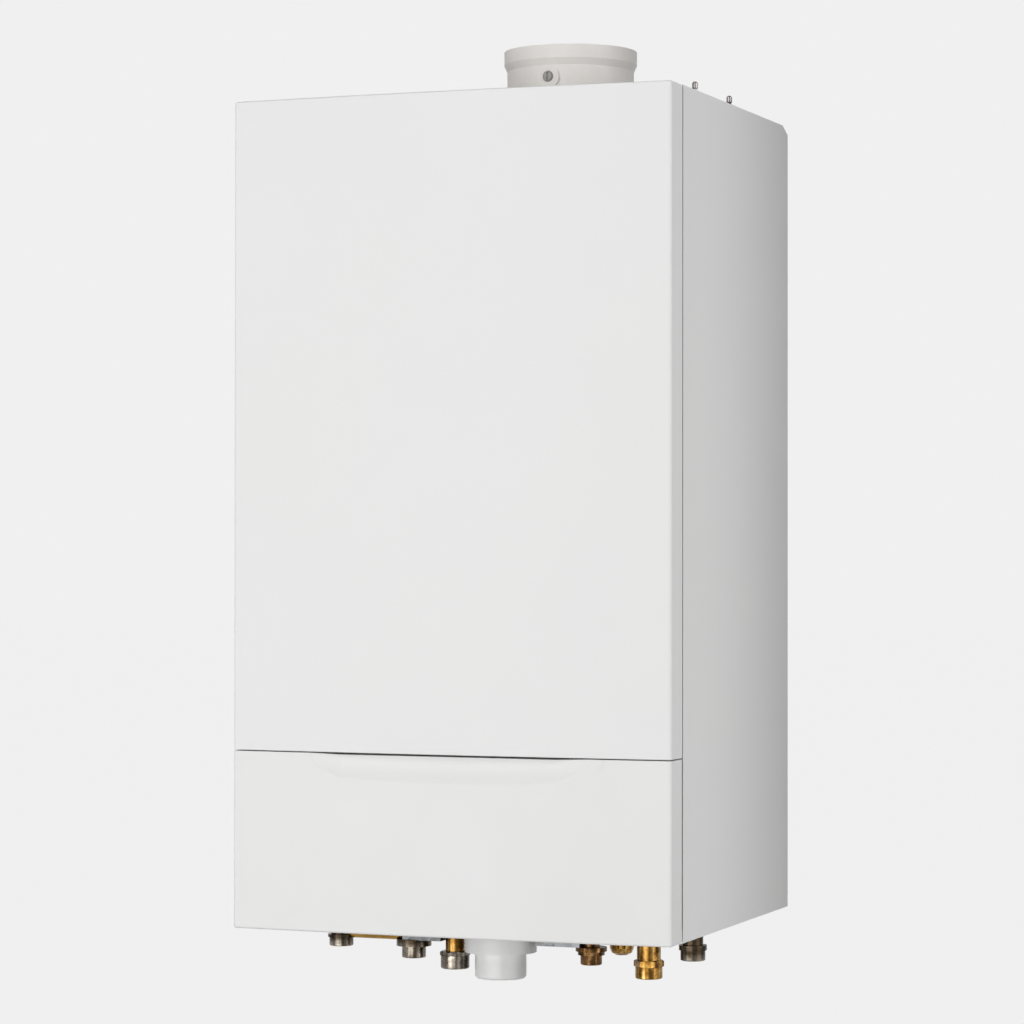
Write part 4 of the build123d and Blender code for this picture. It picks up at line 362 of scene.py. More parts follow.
def turned(shape, place, axis, *steps, sides=24, ring=False):
    """Bridges outlines along an axis, each a radius and a rise in mm and perhaps a form, into a skin."""
    rows = []
    for radius, rise, *form in steps:
        ends = not ring and len(rows) in (0, len(steps) - 1)
        row = bmesh.ops.create_circle(shape, cap_ends=ends, segments=sides, radius=radius / 1000)["verts"]
        for vert in row:
            if form:
                vert.co *= form[0](math.atan2(vert.co.y, vert.co.x))
            vert.co.z = rise / 1000
        bmesh.ops.transform(shape, matrix=facing(place, axis), verts=row)
        rows.append(list(dict.fromkeys(edge for vert in row for edge in vert.link_edges)))
    pairs = list(zip(rows, rows[1:])) + ([(rows[-1], rows[0])] if ring else [])
    for low, high in pairs:
        bmesh.ops.bridge_loops(shape, edges=low + high)


def pan_screw(shape, place, axis, radius):
    """A round-headed screw with a cross recess."""
    turned(
        shape, place, axis, (radius, -0.2), (radius, radius * 0.25), (radius * 0.8, radius * 0.5),
        (radius * 0.6, radius * 0.6), (radius * 0.52, radius * 0.6, cross), (radius * 0.4, radius * 0.2, cross))


# Cross-head screws hold the top panel to the sides and the back frame.
zinc_screw = Finish("zinc_screw", 0.34, 1.0)
zinc_screw.paint(zinc_screw.ramp(
    zinc_screw.cloud(300, 4), (0.3, tone(126, 127, 129)), (0.7, tone(160, 161, 163))))
zinc_screw.gloss(zinc_screw.cloud(800, 2), 0.3, 0.7, 0.26, 0.46)
zinc_screw.relief(zinc_screw.cloud(2500, 2), 0.00001, 0.5)
casing_top = 790
top_screws = bmesh.new()
for x in (-205, 205):
    for y in (-310, -45):
        pan_screw(top_screws, at(x, y, casing_top), (0, 0, 1), 4)
piece("top_screws", top_screws, "boiler", zinc_screw)

# Rubber grommets seal the pipes where they pass the floor plate.
rubber = Finish("grommet_rubber", 0.6, Specular_IOR_Level=0.35)
rubber.paint(rubber.ramp(rubber.cloud(120, 4), (0.35, tone(38, 38, 39)), (0.7, tone(52, 52, 53))))
rubber.gloss(rubber.cloud(400, 2), 0.3, 0.7, 0.5, 0.72)
rubber.relief(rubber.cloud(1500, 2), 0.00002, 0.4)
pipe_row, floor_face = -203, 10
grommets = bmesh.new()
for x, radius in ((-184, 10.7), (-61.6, 9.65), (-13.4, 18.2), (139.9, 11.8), (184.5, 10.2)):
    turned(
        grommets, at(x, pipe_row, floor_face), (0, 0, -1), (radius, 0), (radius + 4.5, 0), (radius + 4.5, 1.2),
        (radius + 3.5, 2), (radius + 0.8, 2), (radius, 1.4), sides=48, ring=True)
piece("floor_grommets", grommets, "boiler", rubber)

# ---------------------------------------------------------------- flue collar
# A grey polypropylene moulding, faintly mottled, with the dull skin of a textured mould. Its flange
# screws to the top panel, black lip seals sit in its two sockets, and a screw plug closes its test port.
grey_plastic = Finish("grey_plastic", 0.46, Specular_IOR_Level=0.4)
grey_plastic.paint(grey_plastic.ramp(
    grey_plastic.cloud(30, 5, rough=0.6),
    (0.3, tone(231, 227, 223)), (0.55, tone(236, 232, 228)), (0.75, tone(240, 236, 232))))
grey_plastic.gloss(grey_plastic.cloud(90, 3), 0.3, 0.7, 0.4, 0.54)
grey_plastic.relief(grey_plastic.cells(1900), 0.00004, 0.3)
dress(grey_plastic, "flue_collar", "flue_pipe")

plug_plastic = Finish("plug_plastic", 0.4, Specular_IOR_Level=0.45)
plug_plastic.paint(plug_plastic.ramp(
    plug_plastic.cloud(220, 3), (0.35, tone(150, 147, 144)), (0.65, tone(166, 163, 160))))
plug_plastic.gloss(plug_plastic.cloud(500, 2), 0.3, 0.7, 0.32, 0.46)
plug_plastic.relief(plug_plastic.cells(2600), 0.00003, 0.3)
dress(plug_plastic, "test_port_plug")

flue_x, flue_y = 50, -178
seals = bmesh.new()
for radius, rise, reach in ((62.75, 842.5, 1.2), (40.25, 826.5, 1.1)):
    turned(
        seals, at(flue_x, flue_y, rise), (0, 0, 1), (radius + 0.2, 0), (radius + 0.2, 4.2),
        (radius - reach, 2.6), (radius - reach * 0.8, 1.8), (radius - reach * 0.3, 1.4), sides=96, ring=True)
piece("collar_seals", seals, "boiler", rubber)

screw_circle, flange_top = 66.8, 792.5
collar_screws = bmesh.new()
for step in range(4):
    angle = math.radians(45 + 90 * step)
    screw_x, screw_y = flue_x + screw_circle * math.cos(angle), flue_y + screw_circle * math.sin(angle)
    pan_screw(collar_screws, at(screw_x, screw_y, flange_top), (0, 0, 1), 3)
piece("collar_screws", collar_screws, "boiler", zinc_screw)

# ---------------------------------------------------------------- nickel-plated fittings
# The flow, hot water and relief ends and the gas nut: turned brass with dull nickel plate. Its colour is
# streaked upright with painted reflections, light and dark, and carries painted shade in dark brown just below
# the casing's lower edge. The two nipples on top have brighter plate, streaked with painted reflections too.
nickel = Finish("nickel_plate", 0.22, 1.0)
# Upright light and dark streaks in the plate's colour are painted reflections.
plate_tone = nickel.ramp(
    nickel.streaks(260), (0.14, tone(62, 54, 44)), (0.22, tone(98, 91, 82)), (0.3, tone(128, 121, 112)),
    (0.38, tone(158, 151, 142)))
# Painted shade: dark brown just under the casing, where the casing shades the fittings. It is kept off the
# nipples on top.
shade_foot, shade_full, shade_end = -0.785, -0.778, -0.7
shade_rise = nickel.spread(nickel.along(2), shade_foot, shade_full, 0, 0.92)
casing_shade = nickel.worked(shade_rise, nickel.beyond(2, shade_end), "SUBTRACT")
shade_tone = nickel.ramp(nickel.cloud(150, 5), (0.35, tone(22, 17, 11)), (0.65, tone(58, 46, 31)))
nickel.paint(nickel.over(plate_tone, shade_tone, casing_shade))
nickel.gloss(nickel.cloud(420, 4), 0.3, 0.75, 0.16, 0.36)
nickel.relief(nickel.bands(160, along="Z", distortion=0.6), 0.00001, 0.3)
nickel.relief(nickel.cloud(1200, 3), 0.00001, 0.12)
dress(nickel, "flow_connector", "hot_water_connector", "relief_outlet", "gas_nut")

# The nipples' plate, its colour streaked upright with painted reflections, light and dark.
bright_nickel = Finish("bright_nickel", 0.2, 1.0)
bright_nickel.paint(bright_nickel.ramp(
    bright_nickel.streaks(420),
    (0.15, tone(84, 80, 80)), (0.25, tone(134, 130, 130)), (0.36, tone(168, 164, 164))))
bright_nickel.gloss(bright_nickel.cloud(700, 3), 0.3, 0.75, 0.14, 0.3)
bright_nickel.relief(bright_nickel.cloud(2000, 2), 0.00001, 0.15)
dress(bright_nickel, "top_studs")

# The gas tube to the mixing nozzle is thin aluminised steel, drawn and bent.
tube_steel = Finish("tube_steel", 0.36, 1.0)
tube_steel.paint(tube_steel.ramp(
    tube_steel.cloud(60, 5, rough=0.6), (0.3, tone(146, 148, 150)), (0.7, tone(172, 174, 176))))
tube_steel.gloss(tube_steel.cloud(500, 3), 0.3, 0.7, 0.3, 0.46)
tube_steel.relief(tube_steel.cloud(1600, 2, tube_steel.mapped(stretch=(1, 1, 0.1))), 0.00001, 0.5)
dress(tube_steel, "gas_tube")

# ---------------------------------------------------------------- brass fittings
# The heating return end, gas pipe, relief valve and the two valve groups: turned and forged brass, tarnished
# brown. Its colour is streaked upright with painted reflections, light and dark.
brass = Finish("brass", 0.24, 1.0)
brass.paint(brass.ramp(
    brass.streaks(230), (0.13, tone(62, 41, 15)), (0.21, tone(104, 74, 31)),
    (0.29, tone(144, 110, 56)), (0.38, tone(184, 148, 94))))
brass.gloss(brass.cloud(380, 4), 0.3, 0.75, 0.18, 0.38)
brass.relief(brass.bands(150, along="Z", distortion=0.8), 0.00001, 0.3)
brass.relief(brass.cloud(900, 3), 0.00001, 0.2)
dress(brass, "gas_pipe", "return_connector", "flow_group", "return_group", "relief_valve")

# The link bar is drawn brass, with fine lines along it.
drawn_brass = Finish("drawn_brass", 0.3, 1.0)
drawn_brass.paint(drawn_brass.ramp(
    drawn_brass.cloud(60, 4), (0.3, tone(126, 94, 42)), (0.5, tone(152, 116, 56)), (0.7, tone(172, 136, 74))))
drawn_brass.gloss(drawn_brass.cloud(300, 3), 0.3, 0.7, 0.24, 0.4)
drawn_brass.relief(drawn_brass.cloud(900, 2, drawn_brass.mapped(stretch=(0.06, 1, 1))), 0.00001, 0.3)
dress(drawn_brass, "link_bar")

# The cold water end is older, darker brass. Its colour is streaked upright with painted reflections, light and
# dark.
aged_brass = Finish("aged_brass", 0.3, 1.0)
aged_brass.paint(aged_brass.ramp(
    aged_brass.streaks(240),
    (0.13, tone(38, 24, 11)), (0.22, tone(70, 49, 27)), (0.31, tone(106, 80, 50)), (0.4, tone(146, 114, 78))))
aged_brass.gloss(aged_brass.cloud(420, 4), 0.3, 0.75, 0.22, 0.46)
aged_brass.relief(aged_brass.bands(150, along="Z", distortion=1), 0.00001, 0.3)
dress(aged_brass, "cold_water_connector")

# ---------------------------------------------------------------- copper pipes
# Flow and return pipe between the groups, the pump and the heat exchanger: drawn copper, browned by
# heat at the bends, with brass union nuts where they meet the castings.
copper = Finish("copper", 0.28, 1.0)
copper.paint(copper.ramp(
    copper.cloud(26, 6, rough=0.65), (0.3, tone(112, 62, 44)), (0.48, tone(158, 96, 68)),
    (0.66, tone(184, 118, 88)), (0.85, tone(198, 136, 106))))
copper.gloss(copper.cloud(240, 4), 0.3, 0.75, 0.2, 0.44)
copper.relief(copper.cloud(1400, 2, copper.mapped(stretch=(1, 1, 0.08))), 0.00001, 0.6)
dress(copper, "flow_pipe", "return_pipe")


def hexagon(angle):
    """The share of the radius to its corners that a hexagon takes up at an angle."""
    return math.cos(math.pi / 6) / math.cos(angle % (math.pi / 3) - math.pi / 6)


flow_pipe_ends = (at(-184, pipe_row, 131), (0, 0, 1)), (at(-157, pipe_row, 640), (-1, 0, 0))
return_pipe_ends = (at(139.9, pipe_row, 293), (0, 0, 1)), (at(-1, -250, 440), (1, 0, 0))
union_nuts = bmesh.new()
for place, axis in flow_pipe_ends + return_pipe_ends:
    turned(
        union_nuts, place, axis, (11.3, 0), (14.6, 0), (16.4, 1.2, hexagon), (16.4, 10.8, hexagon),
        (14.2, 12), (14, 16), (11.3, 16), sides=48, ring=True)
piece("union_nuts", union_nuts, "boiler", brass)

# ---------------------------------------------------------------- aluminium castings
# Heat exchanger, burner hood, fan housing and gas valve: sand and pressure castings with a grainy skin and a
# mottled tone.
casting = Finish("cast_aluminium", 0.54, 0.7)
casting.paint(casting.ramp(
    casting.cloud(26, 5, rough=0.55),
    (0.3, tone(124, 126, 128)), (0.55, tone(136, 138, 140)), (0.8, tone(148, 150, 152))))
casting.gloss(casting.cloud(180, 4), 0.3, 0.7, 0.48, 0.64)
casting.relief(casting.cells(700), 0.0001, 0.45)
casting.relief(casting.cloud(140, 3), 0.0001, 0.25)
dress(casting, "heat_exchanger", "burner_hood", "fan_housing", "gas_valve")


def around(centre, angle, radius):
    """A point on a circle about a centre, with a radius in mm, on a face that looks forward."""
    return centre + Vector((math.cos(angle), 0, math.sin(angle))) * (radius / 1000)


valve_face = -330
fan_middle, fan_bolt_circle = at(140, -293, 520), 50
casting_bolts = bmesh.new()
for x in (-92, -34):
    for height in (213, 277):
        turned(
            casting_bolts, at(x, valve_face, height), (0, -1, 0), (4, 0), (4, 3.4), (3.6, 4), (2.3, 4),
            (2.1, 4, hexagon), (2.1, 1.6, hexagon))
for step in range(4):
    turned(
        casting_bolts, around(fan_middle, math.radians(45 + 90 * step), fan_bolt_circle), (0, -1, 0),
        (5.2, 0), (5.2, 0.8), (4.4, 0.8, hexagon), (4.4, 3.6, hexagon), (3.6, 4.2))
piece("casting_bolts", casting_bolts, "boiler", zinc_screw)

# Brass test nipples and a black throttle cap sit on the gas valve's face.
test_nipples = bmesh.new()
for x in (-86, -46):
    turned(
        test_nipples, at(x, valve_face, 226), (0, -1, 0), (4.6, 0, hexagon), (4.6, 3, hexagon), (3, 3.4),
        (2.6, 7), (3, 7.6), (2.7, 9), (1.4, 9), (1.2, 6))
piece("test_nipples", test_nipples, "boiler", brass)

black_plastic = Finish("black_plastic", 0.46, Specular_IOR_Level=0.4)
black_plastic.paint(black_plastic.ramp(
    black_plastic.cloud(70, 5), (0.35, tone(34, 34, 36)), (0.7, tone(42, 42, 44))))
black_plastic.gloss(black_plastic.cloud(240, 3), 0.3, 0.7, 0.38, 0.58)
black_plastic.relief(black_plastic.cells(1500), 0.00004, 0.4)


def slot_cut(angle):
    """The share of the radius that a slot across a round face takes up at an angle."""
    half_width, least_sine = 0.2, 0.001
    return min(1, half_width / max(abs(math.sin(angle)), least_sine))


throttle_cap = bmesh.new()
turned(
    throttle_cap, at(-66, valve_face, 252), (0, -1, 0), (10, 0), (10, 1.5), (8.4, 1.5), (8.2, 7), (7.4, 7.8),
    (3.6, 7.8), (3.4, 7.8, slot_cut), (3.2, 6, slot_cut), sides=48)
piece("throttle_cap", throttle_cap, "boiler", black_plastic)

# The ignition and flame electrodes stand on the hood: white ceramic with a steel tip and a flange.
ceramic = Finish("ceramic", 0.3, Specular_IOR_Level=0.5)
ceramic.paint(ceramic.ramp(ceramic.cloud(200, 4), (0.3, tone(222, 216, 204)), (0.7, tone(236, 232, 224))))
ceramic.gloss(ceramic.cloud(500, 2), 0.3, 0.7, 0.22, 0.4)
ceramic.relief(ceramic.cloud(1800, 2), 0.00001, 0.4)
electrodes = bmesh.new()
electrode_flanges = bmesh.new()
for x in (-112, -84):
    seat = at(x, -285, 712)
    turned(
        electrodes, seat, (0, -1, 0), (3.4, 2), (3.4, 9), (2.6, 9.6), (3.4, 10.4), (3.4, 13), (2.6, 13.6),
        (2.6, 20), (2.2, 20.6))
    turned(electrode_flanges, seat, (0, -1, 0), (6.5, -0.5), (6.5, 1.6), (6.1, 2), (3.5, 2), sides=36)
    turned(electrode_flanges, seat, (0, -1, 0), (1.1, 20), (1.1, 26.4), (0.8, 27))
piece("electrodes", electrodes, "boiler", ceramic)
piece("electrode_flanges", electrode_flanges, "boiler", zinc_screw)

# ---------------------------------------------------------------- burner and plate exchanger
# The burner is a stainless cylinder with small flame ports all over. They are drawn as near-black dots of
# painted shade pressed in by bumps, not cut through. The plate exchanger is a stack of stainless plates with
# copper brazing in the joints.
burner_steel = Finish("burner_steel", 0.34, 1.0)
ports = burner_steel.cells(330, "F1", "Distance", burner_steel.mapped(turn=(0, 0, 0.4)))
heat_tint = burner_steel.ramp(
    burner_steel.cloud(40, 5), (0.3, tone(112, 92, 80)), (0.5, tone(148, 140, 134)), (0.7, tone(130, 126, 134)))
# The ports are painted shade: near-black dots where the holes would be dark inside.
port_mask = burner_steel.spread(ports, 0.16, 0.24, 1, 0)
burner_steel.paint(burner_steel.over(heat_tint, tone(24, 22, 21), port_mask))
burner_steel.gloss(burner_steel.cloud(300, 3), 0.3, 0.7, 0.28, 0.46)
burner_steel.relief(port_mask, -0.0003, 0.6)
dress(burner_steel, "burner")

plate_steel = Finish("plate_steel", 0.26, 1.0)
plate_rhythm = 44.88
brazed_joints = plate_steel.spread(plate_steel.bands(plate_rhythm, along="Y"), 0.6, 0.72, 0, 1)
sheet_tone = plate_steel.ramp(
    plate_steel.cloud(50, 5), (0.3, tone(144, 146, 148)), (0.7, tone(176, 178, 180)))
braze_tone = plate_steel.ramp(
    plate_steel.cloud(160, 4), (0.3, tone(118, 66, 44)), (0.7, tone(170, 108, 78)))
plate_steel.paint(plate_steel.over(sheet_tone, braze_tone, brazed_joints))
plate_steel.gloss(plate_steel.cloud(260, 4), 0.3, 0.7, 0.2, 0.36)
plate_steel.relief(plate_steel.cloud(900, 2, plate_steel.mapped(stretch=(0.1, 1, 1))), 0.00001, 0.5)
dress(plate_steel, "plate_exchanger")

# ---------------------------------------------------------------- black plastics
# Cover catches, condensate sump, air intake and the two impellers, in glass-filled nylon with a
# grained skin. Steel clips hold the two halves of the intake's silencer together.
dress(black_plastic, "cover_catches", "condensate_sump", "air_intake", "fan_impeller", "pump_impeller")


def slab(shape, low, high, edge=0, turn=0):
    """A box between two corners, with its edges rounded, turned about its own middle facing forward."""
    middle = (low + high) / 2
    made = bmesh.ops.create_cube(shape, size=1, matrix=Matrix.Diagonal((*(high - low), 1)))["verts"]
    if edge:
        edges = list(dict.fromkeys(line for vert in made for line in vert.link_edges))
        done = bmesh.ops.bevel(
            shape, geom=edges, offset=edge / 1000, segments=2, profile=0.5, affect="EDGES", material=-1)
        made = list(dict.fromkeys(vert for face in done["faces"] for vert in face.verts))
    bmesh.ops.transform(shape, matrix=Matrix.Translation(middle) @ Matrix.Rotation(turn, 4, "Y"), verts=made)


clip_front, clip_rear, clip_half_width, clip_half_height = -352, -344, 1.6, 7
intake_clips = bmesh.new()
for height in (420, 475, 530):
    for x in (103.4, 176.6):
        slab(
            intake_clips, at(x - clip_half_width, clip_front, height - clip_half_height),
            at(x + clip_half_width, clip_rear, height + clip_half_height), 0.8)
piece("intake_clips", intake_clips, "boiler", steel_pin)

# ---------------------------------------------------------------- pump and fan motors
# Cast bodies in black cathodic paint, a little dusty. Machine screws hold the pump's motor to its
# volute and the lid to the terminal box.
dark_casting = Finish("dark_casting", 0.4, Specular_IOR_Level=0.45)
painted = dark_casting.ramp(
    dark_casting.cloud(45, 6, rough=0.65), (0.3, tone(40, 41, 43)), (0.7, tone(60, 61, 63)))
dust = dark_casting.spread(dark_casting.cloud(16, 6, rough=0.7), 0.5, 0.8, 0, 0.4)
dark_casting.paint(dark_casting.over(painted, tone(118, 114, 106), dust))
dark_casting.gloss(dark_casting.cloud(150, 4), 0.3, 0.7, 0.3, 0.55)
dark_casting.relief(dark_casting.cells(900), 0.0001, 0.4)
dress(dark_casting, "pump_volute", "pump_motor", "fan_motor")

pump_middle, pump_screw_circle = at(139.9, -232, 225), 48
lid_top = 281
motor_screws = bmesh.new()
for step in range(4):
    turned(
        motor_screws, around(pump_middle, math.radians(45 + 90 * step), pump_screw_circle), (0, -1, 0),
        (3.5, 0), (3.5, 4.2), (3.1, 4.8), (1.9, 4.8), (1.7, 4.8, hexagon), (1.7, 2, hexagon))
for x in (119, 161):
    for y in (-298, -246):
        pan_screw(motor_screws, at(x, y, lid_top), (0, 0, 1), 2.4)
piece("motor_screws", motor_screws, "boiler", zinc_screw)

# ---------------------------------------------------------------- expansion vessel and hose
# The vessel is deep-drawn steel in red powder coat, with a capped air valve on top. Its hose is rubber
# in a stainless braid, crimped into brass ferrules.
red_paint = Finish("red_paint", 0.4, Specular_IOR_Level=0.45)
red_paint.paint(red_paint.ramp(
    red_paint.cloud(18, 5, rough=0.6),
    (0.3, tone(150, 26, 22)), (0.55, tone(168, 32, 27)), (0.8, tone(178, 40, 33))))
red_paint.gloss(red_paint.cloud(120, 4), 0.3, 0.7, 0.32, 0.5)
red_paint.relief(red_paint.cloud(520, 3), 0.00008, 0.5)
dress(red_paint, "expansion_vessel")

red_cap = Finish("red_cap", 0.38, Specular_IOR_Level=0.45)
red_cap.paint(red_cap.ramp(red_cap.cloud(150, 4), (0.3, tone(172, 28, 22)), (0.7, tone(192, 40, 32))))
red_cap.gloss(red_cap.cloud(300, 3), 0.3, 0.7, 0.3, 0.48)
red_cap.relief(red_cap.cells(1800), 0.00003, 0.4)
dress(red_cap, "relief_cap")

vessel_y = -71
valve_cap = bmesh.new()
turned(
    valve_cap, at(-50, vessel_y, 655), (0, 0, 1), (8, -1), (8, 1.5), (5.5, 2.2), (5.5, 3), (5.2, 13),
    (4.2, 14.2), sides=36)
piece("vessel_valve_cap", valve_cap, "boiler", black_plastic)

braid = Finish("steel_braid", 0.36, 0.9)
strand_rhythm, strand_lean = 52, 0.3
strands_one, strands_two = (
    braid.bands(strand_rhythm, along="DIAGONAL", place=braid.mapped(turn=(0, strand_lean, way)))
    for way in (0, math.pi))
weave = braid.worked(strands_one, strands_two, "MAXIMUM")
braid.paint(braid.ramp(
    weave, (0.35, tone(70, 71, 73)), (0.7, tone(140, 142, 144)), (0.95, tone(176, 178, 180))))
braid.gloss(braid.cloud(300, 2), 0.3, 0.7, 0.3, 0.45)
braid.relief(weave, 0.0004, 0.8)
dress(braid, "vessel_hose")

ferrules = bmesh.new()
for place, axis in ((at(40, vessel_y, 330), (0, 0, -1)), (at(112, pipe_row, 108), (0, 0, 1))):
    turned(
        ferrules, place, axis, (6.3, 0.3), (8.6, 0.3, hexagon), (8.6, 7, hexagon), (7, 7.4), (7, 8.6), (7.6, 9),
        (7.6, 13), (7.2, 13.4), (7.6, 13.8), (7.6, 18), (7, 18.6), (6.3, 18.6), sides=36, ring=True)
piece("hose_ferrules", ferrules, "boiler", brass)

# ---------------------------------------------------------------- siphon trap
# The trap takes the condensate from the sump and stands through the floor plate, with its cup below.
# It is white polypropylene with a faint sheen, slightly yellowed and streaked by lime.
trap_plastic = Finish("trap_plastic", 0.36, Specular_IOR_Level=0.4)
clean = trap_plastic.ramp(
    trap_plastic.cloud(24, 5), (0.3, tone(236, 236, 235)), (0.7, tone(242, 242, 241)))
lime = trap_plastic.spread(
    trap_plastic.cloud(60, 5, trap_plastic.mapped(stretch=(1, 1, 0.25)), 0.6), 0.55, 0.8, 0, 0.5)
trap_plastic.paint(trap_plastic.over(clean, tone(205, 202, 194), lime))
trap_plastic.gloss(trap_plastic.cloud(200, 3), 0.3, 0.7, 0.3, 0.46)
trap_plastic.relief(trap_plastic.cloud(700, 2), 0.00003, 0.4)
dress(trap_plastic, "siphon_trap")

# ---------------------------------------------------------------- control box and panel
# Grey ABS mouldings with a fine grain. Scales, marks and pictograms are printed on the panel in white,
# and four screws hold it to the tub.
panel_grey = Finish("panel_grey", 0.5, Specular_IOR_Level=0.4)
panel_grey.paint(panel_grey.ramp(
    panel_grey.cloud(22, 5), (0.3, tone(150, 152, 154)), (0.7, tone(158, 160, 162))))
panel_grey.gloss(panel_grey.cloud(140, 3), 0.3, 0.7, 0.44, 0.6)
panel_grey.relief(panel_grey.cells(1700), 0.00005, 0.45)
dress(panel_grey, "control_panel", "control_box")

panel_face = -338
panel_screws = bmesh.new()
for x in (-185, 185):
    for height in (27, 145):
        pan_screw(panel_screws, at(x, panel_face, height), (0, -1, 0), 3.6)
piece("panel_screws", panel_screws, "boiler", zinc_screw)


def lettering(shape, words, size, place):
    """Raised letters that face forward, centred on a place."""
    curve = bpy.data.curves.new("lettering", "FONT")
    curve.body = words
    curve.size = size / 1000
    curve.extrude = 0.0001
    curve.resolution_u = 4
    curve.align_x = "CENTER"
    curve.align_y = "CENTER"
    carrier = bpy.data.objects.new("lettering", curve)
    letters = carrier.to_mesh()
    letters.transform(Matrix.Translation(place) @ Matrix.Rotation(math.pi / 2, 4, "X"))
    shape.from_mesh(letters)
    carrier.to_mesh_clear()
    bpy.data.objects.remove(carrier)
    bpy.data.curves.remove(curve)


def tick(shape, centre, angle, inner, outer, width):
    """A printed stroke that points away from a centre, on a face that looks forward."""
    depth = 0.3
    reach = Vector((outer - inner, depth, width)) / 2000
    place = around(centre, angle, (inner + outer) / 2)
    slab(shape, place - reach, place + reach, turn=-angle)


def patch(shape, across, upright, front, rear):
    """A thin printed or moulded patch on a face that looks forward, between pairs of limits in mm."""
    slab(shape, at(across[0], front, upright[0]), at(across[1], rear, upright[1]), 0.1)


print_white = Finish("print_white", 0.55, Specular_IOR_Level=0.3)
print_white.paint(print_white.ramp(
    print_white.cloud(160, 4), (0.3, tone(222, 222, 220)), (0.7, tone(232, 232, 230))))
print_white.gloss(print_white.cloud(600, 2), 0.3, 0.7, 0.45, 0.65)
print_white.relief(print_white.cloud(2400, 2), 0.00001, 0.4)
knob_height, heating_x, water_x, gauge_x, switch_x = 85, -75, 75, -150, 150
scale_start, scale_sweep, scale_steps, steps_to_a_number = 225, 270, 15, 3
print_front, print_rear, letter_face = -338.15, -337.9, -338.05
panel_print = bmesh.new()
for x in (heating_x, water_x):
    centre = at(x, panel_face, knob_height)
    for step in range(scale_steps + 1):
        angle = math.radians(scale_start - scale_sweep / scale_steps * step)
        numbered = step % steps_to_a_number == 0
        tick(panel_print, centre, angle, 22.5, 26 if numbered else 24.5, 0.7 if numbered else 0.45)
        if numbered:
            lettering(panel_print, str(step // steps_to_a_number + 1), 6, around(centre, angle, 30.5))

# A radiator marks the heating scale.
for column in range(-6, 7, 3):
    middle = heating_x + column
    patch(panel_print, (middle - 0.9, middle + 0.9), (36, 48), print_front, print_rear)
for height in (38.5, 45.5):
    patch(panel_print, (-83.5, -66.5), (height - 0.6, height + 0.6), print_front, print_rear)

# A tap with a falling drop marks the water scale.
for across, upright in (
        ((68, 80), (42, 45)), ((71.6, 73.2), (45, 49)), ((68.8, 76), (48.2, 49.6)), ((78, 80.6), (38.5, 43))):
    patch(panel_print, across, upright, print_front, print_rear)
turned(panel_print, at(79.3, print_rear, 35.4), (0, -1, 0), (1.3, 0), (1.3, 0.25), sides=16)
for words, size, x, height in (
        ("ON", 5.5, switch_x, 106.5), ("OFF", 5.5, switch_x, 63.5), ("bar", 6, gauge_x, 55.5)):
    lettering(panel_print, words, size, at(x, letter_face, height))
piece("panel_print", panel_print, "boiler", print_white)

# ---------------------------------------------------------------- display
# The window is a smoked acrylic moulding set into the panel. Amber figures glow behind it, on the
# display that stands on the circuit board.
window_glass = Finish("window_glass", 0.06, Specular_IOR_Level=0.5, Transmission_Weight=0.92, IOR=1.49)
window_glass.paint(window_glass.ramp(
    window_glass.cloud(60, 3), (0.3, tone(126, 132, 132)), (0.7, tone(140, 146, 146))))
window_glass.gloss(window_glass.cloud(260, 4), 0.4, 0.8, 0.03, 0.12)
window_glass.relief(window_glass.cloud(30, 2), 0.00005, 0.2)
dress(window_glass, "panel_window")

display_glow = Finish("display_glow", 0.5, Emission_Strength=1.2, Emission_Color=(1, 0.42, 0.06, 1))
display_glow.paint(display_glow.ramp(
    display_glow.cloud(300, 2), (0.3, tone(236, 150, 60)), (0.7, tone(246, 170, 80))))
display_glow.gloss(display_glow.cloud(500, 2), 0.3, 0.7, 0.4, 0.6)
display_face = -320.4
display_figures = bmesh.new()
lettering(display_figures, "60", 22, at(-6, display_face, 104.5))
lettering(display_figures, "°C", 9, at(16, display_face, 108))
piece("display_figures", display_figures, "boiler", display_glow)

# ---------------------------------------------------------------- knobs, keys and rocker
# Charcoal ABS knobs with a white pointer line, light grey keys with raised marks, and a dark rocker.
# The knobs press onto the shafts of the potentiometers, and the keys and the rocker snap into the panel.
charcoal = Finish("charcoal", 0.44, Specular_IOR_Level=0.42)
charcoal.paint(charcoal.ramp(charcoal.cloud(90, 4), (0.3, tone(56, 57, 59)), (0.7, tone(68, 69, 71))))
charcoal.gloss(charcoal.cloud(300, 3), 0.3, 0.7, 0.36, 0.54)
charcoal.relief(charcoal.cells(2000), 0.00003, 0.4)
dress(charcoal, "heating_knob", "water_knob", "power_switch", "pressure_gauge")

for x, body, name in (
        (heating_x, "heating_dial", "heating_pointer"), (water_x, "water_dial", "water_pointer")):
    pointer = bmesh.new()
    patch(pointer, (x - 0.8, x + 0.8), (91.5, 101), -355.95, -355.6)
    piece(name, pointer, body, print_white)

key_grey = Finish("key_grey", 0.46, Specular_IOR_Level=0.4)
key_grey.paint(key_grey.ramp(key_grey.cloud(120, 4), (0.3, tone(214, 214, 212)), (0.7, tone(224, 224, 222))))
key_grey.gloss(key_grey.cloud(400, 3), 0.3, 0.7, 0.38, 0.54)
key_grey.relief(key_grey.cells(2000), 0.00003, 0.4)
dress(key_grey, "minus_button", "plus_button", "diverter_motor")

